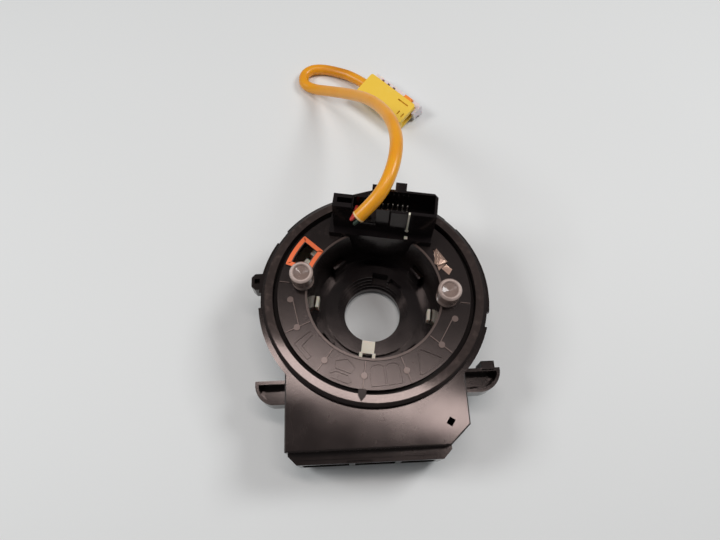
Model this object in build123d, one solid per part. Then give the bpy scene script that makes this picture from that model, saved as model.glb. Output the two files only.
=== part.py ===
from build123d import *
from math import atan2, cos, degrees, hypot, radians, sin, sqrt, tan
import os

# Steering clock spring, millimetres. Z is the steering axis. The origin is the centre of the
# column bore at its lower mouth. The stator's connector box points to -Y, the rotor's
# connector block to +Y. The rotor rests a little clockwise of its centred position.

# ---- heights along the axis ----
BASE_Z = -0.6            # underside of the lower cover
COVER_T = 2.4            # lower cover plate
WEB_Z = 13.1             # underside of the floor between sensor space and cable space
WEB_T = 2.0
STATOR_TOP_Z = 38.4      # top of the stator wall and of the box plate
AXIAL_GAP = 0.5          # running gap between rotor and stator faces

# ---- rotor disc ----
RIM_R = 59.0
RIM_H = 5.1              # from the foot of the rim's skirt to its top
RIM_W = 2.2              # wall of the rim's skirt
FACE_DROP = 1.2          # the disc's face lies below the rim
DISC_T = 2.2
RIM_BEVEL_W = 1.8        # sloping outer edge of the rim
RIM_BEVEL_H = 1.2
GROOVE_INSET = 5.6       # from the rim's edge to the groove's outer side
GROOVE_W = 2.5
GROOVE_DEPTH = 4.6
GROOVE_WALL = 1.4
EDGE_RIB_W = 1.2
EDGE_RIB_H = 0.8
TUBE_R = 37.4
TUBE_MOUTH_R = 35.2
TUBE_FOOT_R = 33.0
REST_TURN = -9.5

# ---- moulded marks on the disc ----
DOT_ORBIT_R = 44.1
DOT_R = 1.9
MARK_H = 0.6
MARK_SINK = 0.3          # how far the marks' feet reach into the disc
MARK_W = 0.9             # width of a mark's foot
MARK_CREST_W = 0.45      # width of its top
DOT_ANGLES = (-168.0, -147.5, -118.0, -90.0, -62.0, -32.5, -12.0)
SPOKE_ANGLES = (-147.5, -118.0, -90.0, -62.0, -32.5)

# ---- inspection window ----
WINDOW_R = (38.6, 47.3)
WINDOW_SPAN = (149.0, 165.2)
WINDOW_RIB_W = 2.4
WINDOW_RIB_H = 0.9

# ---- guide bushes ----
BUSH_X = 38.3
BUSH_Y = 2.4
BUSH_R = 6.1
BUSH_H = 12.0
BUSH_RIBS = 3
BUSH_RIB_PITCH = 1.5
BUSH_RIB_R = 5.85
BUSH_RIB_DEPTH = 0.5
BUSH_DISH = 2.3
POST_R = 2.6
POST_H = 8.5
POST_CLEAR = 0.05

# ---- connector block on the rotor ----
BLOCK_H = 25.0           # heights of the block are above the rim's top
BLOCK_WALL = 1.5
BLOCK_LEFT_X = -16.5
BLOCK_RIGHT_X = 27.5
BLOCK_FRONT_Y = 34.5
BLOCK_BACK_Y = 48.3
POCKET_LEFT_X = -26.3
POCKET_BACK_Y = 42.4
CAVITY_LEFT_X = -2.0
CAVITY_FLOOR_H = 9.0
POCKET_FLOOR_H = 11.0
EYELET_FLOOR_H = 16.0
PLINTH_LEFT_X = -28.3
PLINTH_FRONT_Y = 30.6
PLINTH_H = 3.0
APRON_HALF_W = 17.5
APRON_T = 1.6
APRON_FOOT_Z = 20.0
PIN_W = 0.64
PIN_REACH = 4.0
PIN_PITCH = 2.6
PIN_ROW_Y = (40.2, 43.7)
PIN_FIRST_X = -0.6
PIN_COLUMNS = 6
PIN_TIP_H = 17.0
LOCK_STRIP_X = 13.5
LOCK_STRIP_H = 7.0
SHELL_BEVEL = 0.4
FRONT_SETBACK = 0.9      # step in the front wall between pocket and cavity

# ---- rotor hub, below the disc ----
COLLAR_R = 27.0
COLLAR_TOP_Z = 16.0
COLLAR_BORE_R = 19.8
BORE_R = 16.3
BORE_STEP_Z = 5.2        # length of the narrowest part of the bore
BORE_STEPS = 4
HUB_FLANGE_R = 40.5
HUB_FLANGE_T = 2.1
HUB_NECK_R = 25.0
HUB_FOOT_R = 22.6
FINGER_W = 8.0
FINGER_T = 1.4
FINGER_R = 30.0
FINGER_TOP_Z = 24.0
FINGER_HOOK = 1.2
FINGER_ANGLES = (-135.0, -45.0, 45.0, 135.0)

# ---- steering angle sensor ----
GEAR_MODULE = 0.8
DRIVE_TEETH = 88
GEAR_A_TEETH = 24
GEAR_B_TEETH = 26
GEAR_T = 3.6
GEAR_Z = 5.8
GEAR_A_ANGLE = -118.0
GEAR_B_ANGLE = -62.0
GEAR_PIN_R = 2.0
GEAR_PIN_CLEAR = 0.05
MAGNET_R = 3.2
MAGNET_T = 1.5
TAB_R = 31.1
TAB_T = 1.6
TAB_W = 6.5
TAB_TOP_Z = 18.0
HOOK_W = 7.2
HOOK_T = 1.4
HOOK_REACH_R = 19.3
BOARD_Z = 2.9
BOARD_T = 1.6

# ---- stator ----
SHOULDER_W = 1.2
SHOULDER_H = 3.4
SHOULDER_GAPS = ((38.0, 46.0), (84.0, 92.0), (139.0, 147.0), (176.0, 184.0), (-19.0, -11.0))
RIM_INSET = 1.4          # the rim's edge lies inside the stator wall's outer face
WALL_T = 2.0
BOX_LEFT_X = -47.2
BOX_RIGHT_X = 43.8
BOX_REACH = 17.4         # front of the box, from the round wall
BOX_CHAMFER_X = 33.3
BOX_CHAMFER_D = 9.5
BOX_TOP_T = 2.4
BOX_BEVEL = 0.7
BOX_WALL_T = 2.0
NOSE_REACH = 5.6
NOSE_LEFT_X = -46.5
NOSE_RIGHT_X = 34.8
NOSE_CHAMFER = 4.4
NOSE_Z = (6.0, 30.0)
NOSE_RIDGE_SETBACK = 2.2
NOSE_RIDGE_W = 1.0
NOSE_RIDGE_H = 0.8
SOCKET_DEPTH = 9.0
SOCKET_Z = (10.0, 26.0)
SOCKET_SPANS = ((-40.0, -16.5), (-13.5, 7.0), (10.0, 27.0))
LUG_Z = (17.0, 29.0)
LUG_WALL = 1.8
LUG_FLOOR_T = 1.8
LUG_DEPTH = 12.4
LEFT_LUG_X = -63.6
LEFT_LUG_SETBACK = 36.5  # backs of the lugs, from the front of the box
RIGHT_LUG_X = 64.3
RIGHT_LUG_SETBACK = 38.6
EAR_REACH = 5.6
EAR_Y = (7.0, 16.2)
EAR_BEVEL = 2.0
EAR_DROP = 2.4           # top of the ear below the top of the wall
EAR_H = 10.0

# ---- flat cable and its carrier ----
CABLE_FOOT = 2.8         # from the floor up to the cable
CABLE_DROP = 4.4         # from the top of the wall down to the cable
INNER_WINDING = (38.0, 39.4)
OUTER_WINDING_T = 1.2
OUTER_WINDING_GAP = 0.5  # to the stator wall
WINDING_CLEAR = 0.1      # nothing on the housing comes nearer the outer winding
CARRIER_INNER_R = 40.2
CARRIER_GAP = 1.1        # from the carrier to the outer winding
CARRIER_T = 1.4
CARRIER_GUARD_T = 1.6
CARRIER_POST_R = (40.4, 43.4)
ROLLER_INNER_GAP = 3.2   # room for the ribbon between the roller and the inner winding
ROLLER_OUTER_GAP = 3.3   # the same towards the outer winding
ROLLER_ANGLE = 118.0
ROLLER_PIN_R = 1.6
ROLLER_CLEAR = 0.05
ROLLER_RISE = 0.4        # the roller stands this much above the cable
CABLE_T = 0.6

# ---- airbag lead ----
SLEEVE_R = 3.5
LEAD_PLUG_H = 4.8
WIRE_R = 0.9
SLEEVE_ROUTE = [
    (-7.2, 30.9, 70.0),
    (-1.3, 34.3, 74.6),
    (5.1, 40.1, 78.6),
    (10.0, 49.1, 81.0),
    (13.5, 61.1, 80.5),
    (15.1, 77.1, 75.5),
    (12.8, 98.0, 65.0),
    (4.2, 123.9, 47.5),
    (-8.8, 144.3, 29.0),
    (-22.8, 161.4, 12.5),
    (-32.4, 170.2, 4.4),
    (-39.8, 176.2, 2.9),
    (-39.8, 184.4, 2.9),
    (-34.4, 189.6, 2.9),
    (-25.4, 189.8, 2.9),
    (-14.9, 186.0, 3.5),
    (-4.6, 180.3, 5.0),
    (4.7, 170.9, 6.6),
]
RED_WIRE_ROUTE = [
    (-7.3, 41.4, 59.8),
    (-7.3, 41.4, 62.4),
    (-7.6, 39.2, 64.9),
    (-9.2, 34.9, 64.7),
    (-10.8, 31.9, 65.6),
    (-10.05, 30.87, 68.3),
    (-7.9, 32.11, 70.0),
]
DARK_WIRE_ROUTE = [
    (-4.8, 41.3, 59.8),
    (-4.8, 41.3, 62.0),
    (-5.2, 39.0, 64.0),
    (-7.8, 33.6, 63.8),
    (-9.2, 29.4, 65.5),
    (-8.65, 28.45, 68.3),
    (-6.5, 29.69, 70.0),
]

# ---- airbag plug, in its own frame: X along the plug, Z out of its broad face ----
SQUIB_X_DIR = (0.6942, -0.7198, 0.0)
SQUIB_Z_DIR = (-0.1814, -0.1750, 0.9677)
SQUIB_X = (0.0, 40.4)
SQUIB_Y = (-9.2, 7.6)
SQUIB_T = 10.0
SQUIB_CORNER = 1.6
SQUIB_SIDE_W = 3.6
SQUIB_SIDE_TOP = 1.0
SQUIB_SIDE_FOOT = -9.2
SQUIB_END_T = 1.9
SQUIB_END_FOOT = -6.2
SQUIB_WINDOWS_X = (8.2, 13.4, 18.4)
MOUTH_X = 29.0
MOUTH_Y = (-6.4, 4.8)
MOUTH_Z = (-3.2, 1.6)
CONTACT_Y = (-3.2, 1.6)
LOCK_X = (28.3, 35.5)
LOCK_GAP = 0.15

# ---- values that follow ----
SKIRT_Z = STATOR_TOP_Z + AXIAL_GAP
FACE_Z = SKIRT_Z + RIM_H
DISC_Z = FACE_Z - FACE_DROP
DISC_UNDER_Z = DISC_Z - DISC_T
GROOVE_R = RIM_R - GROOVE_INSET
BLOCK_TOP_Z = FACE_Z + BLOCK_H
CAVITY_FLOOR_Z = FACE_Z + CAVITY_FLOOR_H
POCKET_FLOOR_Z = FACE_Z + POCKET_FLOOR_H
EYELET_FLOOR_Z = FACE_Z + EYELET_FLOOR_H
PLINTH_TOP_Z = FACE_Z + PLINTH_H
PIN_TIP_Z = FACE_Z + PIN_TIP_H
LOCK_STRIP_Z = FACE_Z + LOCK_STRIP_H
WALL_R = RIM_R + RIM_INSET
SHOULDER_R = WALL_R + SHOULDER_W
BOX_FRONT_Y = -WALL_R - BOX_REACH
BOX_CHAMFER_Y = BOX_FRONT_Y + BOX_CHAMFER_D
NOSE_FRONT_Y = BOX_FRONT_Y - NOSE_REACH
SOCKET_BACK_Y = NOSE_FRONT_Y + SOCKET_DEPTH
LEFT_LUG_Y = BOX_FRONT_Y + LEFT_LUG_SETBACK
RIGHT_LUG_Y = BOX_FRONT_Y + RIGHT_LUG_SETBACK
EAR_X = -WALL_R - EAR_REACH
EAR_Z = (STATOR_TOP_Z - EAR_DROP - EAR_H, STATOR_TOP_Z - EAR_DROP)
COVER_TOP_Z = BASE_Z + COVER_T
WEB_TOP_Z = WEB_Z + WEB_T
HUB_FLANGE_Z = WEB_Z - AXIAL_GAP
HUB_FLANGE_UNDER_Z = HUB_FLANGE_Z - HUB_FLANGE_T
CABLE_Z = (WEB_TOP_Z + CABLE_FOOT, STATOR_TOP_Z - CABLE_DROP)
OUTER_WINDING_R = WALL_R - WALL_T - OUTER_WINDING_GAP
OUTER_WINDING = (OUTER_WINDING_R - OUTER_WINDING_T, OUTER_WINDING_R)
CARRIER_R = (CARRIER_INNER_R, OUTER_WINDING[0] - CARRIER_GAP)
ROLLER_SPACE = (INNER_WINDING[1] + ROLLER_INNER_GAP, OUTER_WINDING[0] - ROLLER_OUTER_GAP)
ROLLER_R = (ROLLER_SPACE[1] - ROLLER_SPACE[0]) / 2
ROLLER_ORBIT_R = ROLLER_SPACE[0] + ROLLER_R
ROLLER_TOP_Z = CABLE_Z[1] + ROLLER_RISE
GEAR_TOP_Z = GEAR_Z + GEAR_T
GEAR_A_ORBIT_R = GEAR_MODULE * (DRIVE_TEETH + GEAR_A_TEETH) / 2
GEAR_B_ORBIT_R = GEAR_MODULE * (DRIVE_TEETH + GEAR_B_TEETH) / 2


def polar(radius, angle, z=0.0):
    return Vector(radius * cos(radians(angle)), radius * sin(radians(angle)), z)


def spot(radius, angle):
    """Place on a circle as an (x, y) pair."""
    return radius * cos(radians(angle)), radius * sin(radians(angle))


def slab(x, y, z):
    """Box between two limits on each axis."""
    return Pos((x[0] + x[1]) / 2, (y[0] + y[1]) / 2, (z[0] + z[1]) / 2) * Box(
        x[1] - x[0], y[1] - y[0], z[1] - z[0]
    )


def rod(radius, z0, z1, at=(0.0, 0.0)):
    return Pos(at[0], at[1], (z0 + z1) / 2) * Cylinder(radius, z1 - z0)


def ring(outer, inner, z0, z1):
    return rod(outer, z0, z1) - rod(inner, z0, z1)


def prism(points, z0, z1):
    outline = Polyline(*points, close=True)
    return Pos(0, 0, z0) * extrude(make_face(outline), z1 - z0)


def turned(points):
    """Solid of revolution about the steering axis from (radius, z) points."""
    return revolve(Plane.XZ * make_face(Polyline(*points, close=True)), Axis.Z)


def sector(inner, outer, start, end, z0, z1):
    """Part of a flat ring between two angles."""
    middle = (start + end) / 2
    outline = make_face(
        [
            Line(polar(inner, start), polar(outer, start)),
            ThreePointArc(polar(outer, start), polar(outer, middle), polar(outer, end)),
            Line(polar(outer, end), polar(inner, end)),
            ThreePointArc(polar(inner, end), polar(inner, middle), polar(inner, start)),
        ]
    )
    return Pos(0, 0, z0) * extrude(outline, z1 - z0)


def spoke(inner, outer, angle, width, z0, z1):
    """Straight radial bar."""
    return Rot(0, 0, angle) * slab((inner, outer), (-width / 2, width / 2), (z0, z1))


def on_rotor(shape):
    return Rot(0, 0, REST_TURN) * shape


def save(name, shape):
    export_step(shape, os.path.join("parts", name + ".step"))


# ---------------------------------------------------------------- rotor disc
def disc_blank():
    """Rim, groove, disc, edge rib and the tapered inner tube in one turned form."""
    rib_z = DISC_Z + EDGE_RIB_H
    groove_in = GROOVE_R - GROOVE_W
    groove_floor = DISC_Z - GROOVE_DEPTH
    return turned(
        [
            (TUBE_FOOT_R, HUB_FLANGE_Z),
            (TUBE_R, HUB_FLANGE_Z),
            (TUBE_R, DISC_UNDER_Z),
            (groove_in - GROOVE_WALL, DISC_UNDER_Z),
            (groove_in - GROOVE_WALL, groove_floor - GROOVE_WALL),
            (GROOVE_R + GROOVE_WALL, groove_floor - GROOVE_WALL),
            (GROOVE_R + GROOVE_WALL, FACE_Z - DISC_T),
            (RIM_R - RIM_W, FACE_Z - DISC_T),
            (RIM_R - RIM_W, SKIRT_Z),
            (RIM_R, SKIRT_Z),
            (RIM_R, FACE_Z - RIM_BEVEL_H),
            (RIM_R - RIM_BEVEL_W, FACE_Z),
            (GROOVE_R, FACE_Z),
            (GROOVE_R, groove_floor),
            (groove_in, groove_floor),
            (groove_in, DISC_Z),
            (TUBE_MOUTH_R + EDGE_RIB_W, DISC_Z),
            (TUBE_MOUTH_R + EDGE_RIB_W, rib_z),
            (TUBE_MOUTH_R, rib_z),
        ]
    )


def mark_line(start, end):
    """Raised line on the disc between two (x, y) places."""
    run = hypot(end[0] - start[0], end[1] - start[1])
    slope = degrees(atan2(end[1] - start[1], end[0] - start[0]))
    section = [
        (-MARK_W / 2, DISC_Z - MARK_SINK),
        (MARK_W / 2, DISC_Z - MARK_SINK),
        (MARK_CREST_W / 2, DISC_Z + MARK_H),
        (-MARK_CREST_W / 2, DISC_Z + MARK_H),
    ]
    bar = extrude(Plane.YZ * make_face(Polyline(*section, close=True)), run)
    return Pos(start[0], start[1], 0) * (Rot(0, 0, slope) * bar)


def mark_dot():
    """Low round stud with a sloping edge."""
    slope = (MARK_W - MARK_CREST_W) / 2
    height = MARK_SINK + MARK_H
    return Pos(0, 0, DISC_Z - MARK_SINK + height / 2) * Cone(DOT_R, DOT_R - slope, height)


def disc_marks():
    """Raised dots, the spokes through them and the lines that link the outer ones."""
    inner_r = TUBE_MOUTH_R + EDGE_RIB_W + 0.4
    outer_r = GROOVE_R - GROOVE_W - 0.4
    marks = [Pos(*spot(DOT_ORBIT_R, angle), 0) * mark_dot() for angle in DOT_ANGLES]
    marks += [mark_line(spot(inner_r, angle), spot(outer_r, angle)) for angle in SPOKE_ANGLES]
    for far, near in ((DOT_ANGLES[0], DOT_ANGLES[1]), (DOT_ANGLES[-1], DOT_ANGLES[-2])):
        marks.append(mark_line(spot(DOT_ORBIT_R - 1.2, near), spot(DOT_ORBIT_R - 1.2, far)))
    for side in (-1, 1):
        marks.append(mark_line((side * (BUSH_X + BUSH_R + 0.8), 0.2), (side * (outer_r - 0.1), 0.2)))
    return marks


def pointer():
    """Arrow across the groove, with its tip on the rim."""
    tip = RIM_R - RIM_BEVEL_W - 0.2
    back = GROOVE_R - GROOVE_W
    outline = [(-2.0, -back), (-2.0, -GROOVE_R - 0.6), (0.0, -tip), (2.0, -GROOVE_R - 0.6), (2.0, -back)]
    return prism(outline, DISC_Z - GROOVE_DEPTH - 0.4, FACE_Z + 0.4)


def window_rib():
    low, high = WINDOW_R
    start, end = WINDOW_SPAN
    side = degrees(2 * WINDOW_RIB_W / (low + high))
    top = DISC_Z + WINDOW_RIB_H
    return sector(low - WINDOW_RIB_W, high + WINDOW_RIB_W, start - side, end + side, DISC_Z - 0.4, top)


def apron_clear():
    """Space that the connector block's apron takes in the tube and the disc."""
    return slab(
        (-APRON_HALF_W - 0.3, APRON_HALF_W + 0.3),
        (PLINTH_FRONT_Y + 0.1, TUBE_R + 1.0),
        (APRON_FOOT_Z - 0.3, FACE_Z),
    )


def plinth_outline():
    return [
        (PLINTH_LEFT_X, PLINTH_FRONT_Y),
        (BLOCK_RIGHT_X, PLINTH_FRONT_Y),
        (BLOCK_RIGHT_X, BLOCK_BACK_Y - 2.0),
        (BLOCK_RIGHT_X - 2.0, BLOCK_BACK_Y),
        (-4.0, BLOCK_BACK_Y),
        (BLOCK_LEFT_X, POCKET_BACK_Y + 0.3),
        (PLINTH_LEFT_X, POCKET_BACK_Y),
    ]


def rotor_cover():
    body = disc_blank()
    body += disc_marks()
    body += pointer()
    body += window_rib()
    body -= sector(*WINDOW_R, *WINDOW_SPAN, DISC_UNDER_Z - 0.5, DISC_Z + WINDOW_RIB_H + 0.5)
    for side in (-1, 1):
        body -= rod(BUSH_R + 0.3, DISC_Z, FACE_Z, (side * BUSH_X, BUSH_Y))
        body += rod(POST_R, DISC_Z - 0.5, DISC_Z + POST_H, (side * BUSH_X, BUSH_Y))
    body -= prism(plinth_outline(), DISC_Z, DISC_Z + EDGE_RIB_H)
    body -= apron_clear()
    body -= prism(tail_outline(0.4), DISC_UNDER_Z - 0.5, DISC_Z + EDGE_RIB_H + 0.5)
    for angle in FINGER_ANGLES:
        low = FINGER_TOP_Z - 3.2
        body -= spoke(FINGER_R, TUBE_R + 1.0, angle, FINGER_W + 1.0, low, FINGER_TOP_Z + 0.5)
    return body


# ---------------------------------------------------------------- guide bushes
def guide_bush(side):
    """Soft cap with a dished top, a ribbed foot and a bore that grips its post."""
    foot = DISC_Z
    top = foot + BUSH_H
    mouth = BUSH_R * 0.74
    profile = [
        (0.0, foot + POST_H + 0.4),
        (POST_R + POST_CLEAR, foot + POST_H + 0.4),
        (POST_R + POST_CLEAR, foot),
        (BUSH_RIB_R, foot),
    ]
    for rib in range(BUSH_RIBS):
        low = foot + 0.7 + rib * BUSH_RIB_PITCH
        profile += [
            (BUSH_RIB_R, low),
            (BUSH_RIB_R - BUSH_RIB_DEPTH, low + 0.35),
            (BUSH_RIB_R - BUSH_RIB_DEPTH, low + 0.75),
            (BUSH_RIB_R, low + 1.1),
        ]
    profile += [
        (BUSH_R, low + 1.1),
        (BUSH_R, top - 1.0),
        (BUSH_R - 0.9, top),
        (mouth, top),
        (mouth * 0.86, top - 1.2),
        (0.0, top - BUSH_DISH),
    ]
    return Pos(side * BUSH_X, BUSH_Y, 0) * turned(profile)


# ---------------------------------------------------------------- connector block
def block_outline():
    return [
        (BLOCK_LEFT_X, BLOCK_FRONT_Y),
        (BLOCK_RIGHT_X, BLOCK_FRONT_Y),
        (BLOCK_RIGHT_X, BLOCK_BACK_Y - 2.0),
        (BLOCK_RIGHT_X - 2.0, BLOCK_BACK_Y),
        (-4.0, BLOCK_BACK_Y),
        (-7.0, BLOCK_BACK_Y - 1.8),
        (BLOCK_LEFT_X, POCKET_BACK_Y + 0.3),
    ]


def pin_places():
    return [
        (PIN_FIRST_X + column * PIN_PITCH, row)
        for row in PIN_ROW_Y
        for column in range(PIN_COLUMNS)
    ]


def rotor_pins():
    """Contact pins that stand in the connector cavity."""
    foot = PLINTH_TOP_Z + 2.0
    half = PIN_W / 2
    pins = [
        slab((x - half, x + half), (y - half, y + half), (foot, PIN_TIP_Z)) for x, y in pin_places()
    ]
    return Compound(pins)


def terminal_lock():
    """Pale locking strip in the block's front wall, and its square foot in the plinth."""
    face = (BLOCK_FRONT_Y - 0.4, BLOCK_FRONT_Y + 1.0)
    strip = slab((LOCK_STRIP_X - 0.45, LOCK_STRIP_X + 0.45), face, (LOCK_STRIP_Z, BLOCK_TOP_Z + 0.2))
    eye = Pos(LOCK_STRIP_X, sum(face) / 2, LOCK_STRIP_Z) * (Rot(90, 0, 0) * Cylinder(1.0, face[1] - face[0]))
    foot = slab(
        (LOCK_STRIP_X - 0.9, LOCK_STRIP_X + 0.9),
        (PLINTH_FRONT_Y + 0.6, PLINTH_FRONT_Y + 2.4),
        (FACE_Z + 1.2, PLINTH_TOP_Z + 0.3),
    )
    return Compound([strip + eye, foot])


def connector_shell():
    body = prism(block_outline(), FACE_Z, BLOCK_TOP_Z)
    body = chamfer(body.edges().group_by(Axis.Z)[-1], SHELL_BEVEL)
    body += slab((POCKET_LEFT_X, BLOCK_LEFT_X), (BLOCK_FRONT_Y + 0.3, POCKET_BACK_Y), (FACE_Z, BLOCK_TOP_Z))
    body += prism(plinth_outline(), FACE_Z, PLINTH_TOP_Z)
    body += prism(plinth_outline(), DISC_Z, FACE_Z) & rod(GROOVE_R - GROOVE_W, DISC_Z, FACE_Z)
    body += slab(
        (-APRON_HALF_W, APRON_HALF_W),
        (PLINTH_FRONT_Y + 0.4, PLINTH_FRONT_Y + 0.4 + APRON_T),
        (APRON_FOOT_Z, FACE_Z),
    )
    body += slab((-7.0, -3.0), (BLOCK_BACK_Y - 0.5, BLOCK_BACK_Y + 1.7), (EYELET_FLOOR_Z, BLOCK_TOP_Z))
    body += slab((5.0, 10.8), (BLOCK_BACK_Y - 0.5, BLOCK_BACK_Y + 4.2), (POCKET_FLOOR_Z + 1.0, BLOCK_TOP_Z))
    body -= slab(
        (CAVITY_LEFT_X, BLOCK_RIGHT_X - BLOCK_WALL),
        (BLOCK_FRONT_Y + BLOCK_WALL, BLOCK_BACK_Y - BLOCK_WALL),
        (CAVITY_FLOOR_Z, BLOCK_TOP_Z),
    )
    body -= slab(
        (BLOCK_LEFT_X + 0.8, CAVITY_LEFT_X - BLOCK_WALL),
        (BLOCK_FRONT_Y - 1.0, POCKET_BACK_Y - 0.8),
        (POCKET_FLOOR_Z, BLOCK_TOP_Z),
    )
    body -= slab((POCKET_LEFT_X + 2.1, BLOCK_LEFT_X - 0.1), (37.3, 40.3), (EYELET_FLOOR_Z, BLOCK_TOP_Z))
    setback = BLOCK_FRONT_Y + FRONT_SETBACK
    recess = [
        (CAVITY_LEFT_X - BLOCK_WALL, BLOCK_FRONT_Y - 0.5),
        (4.8, BLOCK_FRONT_Y - 0.5),
        (3.2, setback),
        (CAVITY_LEFT_X - BLOCK_WALL, setback),
    ]
    body -= prism(recess, PLINTH_TOP_Z + 4.0, BLOCK_TOP_Z)
    for pin in rotor_pins().solids() + terminal_lock().solids():
        body -= pin
    return body


# ---------------------------------------------------------------- rotor hub
def hub_bore_profile():
    """Stepped bore, widest at the collar, as (radius, z) points from the top down."""
    step_r = (COLLAR_BORE_R - BORE_R) / BORE_STEPS
    step_z = (COLLAR_TOP_Z - BORE_STEP_Z) / BORE_STEPS
    points = []
    for index in range(BORE_STEPS):
        radius = COLLAR_BORE_R - index * step_r
        points.append((radius, COLLAR_TOP_Z - index * step_z))
        points.append((radius, COLLAR_TOP_Z - (index + 1) * step_z))
    points.append((BORE_R, BORE_STEP_Z))
    points.append((BORE_R, 0.0))
    return points


def snap_finger(angle):
    """Upright hook that catches in a window of the disc's tube."""
    profile = [
        (FINGER_R, HUB_FLANGE_Z),
        (FINGER_R + FINGER_T, HUB_FLANGE_Z),
        (FINGER_R + FINGER_T, FINGER_TOP_Z - 2.4),
        (FINGER_R + FINGER_T + FINGER_HOOK + 1.6, FINGER_TOP_Z - 2.4),
        (FINGER_R + FINGER_T, FINGER_TOP_Z),
        (FINGER_R, FINGER_TOP_Z),
    ]
    face = Plane.XZ * make_face(Polyline(*profile, close=True))
    return Rot(0, 0, angle) * (Pos(0, FINGER_W / 2, 0) * extrude(face, FINGER_W))


def rotor_hub():
    inner = hub_bore_profile()
    outer = [
        (HUB_FOOT_R, 0.0),
        (HUB_FOOT_R, GEAR_Z - 1.0),
        (HUB_NECK_R, GEAR_Z - 1.0),
        (HUB_NECK_R, HUB_FLANGE_UNDER_Z),
        (HUB_FLANGE_R, HUB_FLANGE_UNDER_Z),
        (HUB_FLANGE_R, HUB_FLANGE_Z),
        (COLLAR_R, HUB_FLANGE_Z),
        (COLLAR_R, COLLAR_TOP_Z),
    ]
    body = turned(inner + outer)
    for angle in FINGER_ANGLES:
        body += snap_finger(angle)
    for angle in (0.0, 180.0):
        body -= spoke(TAB_R - 0.3, TAB_R + TAB_T + 0.3, angle, TAB_W + 0.6, HUB_FLANGE_UNDER_Z, HUB_FLANGE_Z)
    body -= spoke(28.7, 31.3, -90.0, HOOK_W + 0.6, HUB_FLANGE_UNDER_Z, HUB_FLANGE_Z)
    body -= spoke(BORE_R, COLLAR_BORE_R + 2.6, 84.0, 9.0, 9.0, COLLAR_TOP_Z)
    body -= spoke(BORE_R, COLLAR_BORE_R + 1.6, 56.0, 8.0, 11.0, COLLAR_TOP_Z)
    return body


# ---------------------------------------------------------------- gears
def gear_outline(teeth, phase):
    """Spur gear outline with straight-flanked teeth and a little backlash."""
    pitch_r = GEAR_MODULE * teeth / 2
    tip_r = pitch_r + 0.85 * GEAR_MODULE
    root_r = pitch_r - 1.2 * GEAR_MODULE
    pitch = 360.0 / teeth
    corners = []
    for tooth in range(teeth):
        centre = phase + tooth * pitch
        corners.append(polar(root_r, centre - 0.34 * pitch))
        corners.append(polar(tip_r, centre - 0.11 * pitch))
        corners.append(polar(tip_r, centre + 0.11 * pitch))
        corners.append(polar(root_r, centre + 0.34 * pitch))
    return make_face(Polyline(*corners, close=True))


def spur_gear(teeth, phase, z0, z1):
    return Pos(0, 0, z0) * extrude(gear_outline(teeth, phase), z1 - z0)


def meshed_phase(teeth, angle):
    """Tooth phase of a gear at an angle round the drive gear, in mesh at rest."""
    drive_pitch = 360.0 / DRIVE_TEETH
    offset = (angle - REST_TURN) / drive_pitch % 1.0
    return angle + 180.0 + (0.5 + offset) * 360.0 / teeth


def drive_gear():
    """Gear ring on the hub with two upright tabs and a forked hook over the collar."""
    body = spur_gear(DRIVE_TEETH, 0.0, GEAR_Z, GEAR_TOP_Z)
    body -= rod(HUB_NECK_R + 0.05, GEAR_Z, GEAR_TOP_Z)
    for angle in (0.0, 180.0):
        body += spoke(TAB_R, TAB_R + TAB_T, angle, TAB_W, GEAR_Z, TAB_TOP_Z)
    hook_top = COLLAR_TOP_Z + HOOK_T
    body += spoke(29.0, 30.6, -90.0, HOOK_W, GEAR_Z, hook_top)
    body += spoke(HOOK_REACH_R, COLLAR_R - 0.6, -90.0, HOOK_W, COLLAR_TOP_Z, hook_top)
    for side in (-1, 1):
        arm = slab((26.0, 29.5), (side * HOOK_W / 2 - 0.9, side * HOOK_W / 2 + 0.9), (COLLAR_TOP_Z, hook_top))
        body += Rot(0, 0, -90.0) * arm
    return body


def sensor_gear(teeth, orbit, angle):
    body = spur_gear(teeth, meshed_phase(teeth, angle), GEAR_Z, GEAR_TOP_Z)
    body += rod(GEAR_PIN_R + 1.4, GEAR_TOP_Z, WEB_Z - AXIAL_GAP)
    body -= rod(GEAR_PIN_R + GEAR_PIN_CLEAR, GEAR_Z + MAGNET_T + 0.4, WEB_Z - AXIAL_GAP)
    body -= rod(MAGNET_R, GEAR_Z, GEAR_Z + MAGNET_T)
    return Pos(polar(orbit, angle)) * body


def magnet(orbit, angle):
    return rod(MAGNET_R, GEAR_Z, GEAR_Z + MAGNET_T, spot(orbit, angle))


def gear_pin(orbit, angle):
    return rod(GEAR_PIN_R, GEAR_Z + MAGNET_T + 0.9, WEB_Z, spot(orbit, angle))


# ---------------------------------------------------------------- stator
def box_outline(inset=0.0):
    return [
        (BOX_LEFT_X + inset, -38.0),
        (BOX_LEFT_X + inset, BOX_FRONT_Y + inset),
        (BOX_CHAMFER_X - 0.4 * inset, BOX_FRONT_Y + inset),
        (BOX_RIGHT_X - inset, BOX_CHAMFER_Y + 0.4 * inset),
        (BOX_RIGHT_X - inset, -38.0),
    ]


def nose_outline():
    """Outline of the plug sockets that stand out in front of the box."""
    return [
        (NOSE_LEFT_X, SOCKET_BACK_Y + BOX_WALL_T),
        (NOSE_LEFT_X, NOSE_FRONT_Y + NOSE_CHAMFER),
        (NOSE_LEFT_X + NOSE_CHAMFER, NOSE_FRONT_Y),
        (NOSE_RIGHT_X - NOSE_CHAMFER, NOSE_FRONT_Y),
        (NOSE_RIGHT_X, NOSE_FRONT_Y + NOSE_CHAMFER),
        (NOSE_RIGHT_X, SOCKET_BACK_Y + BOX_WALL_T),
    ]


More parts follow.
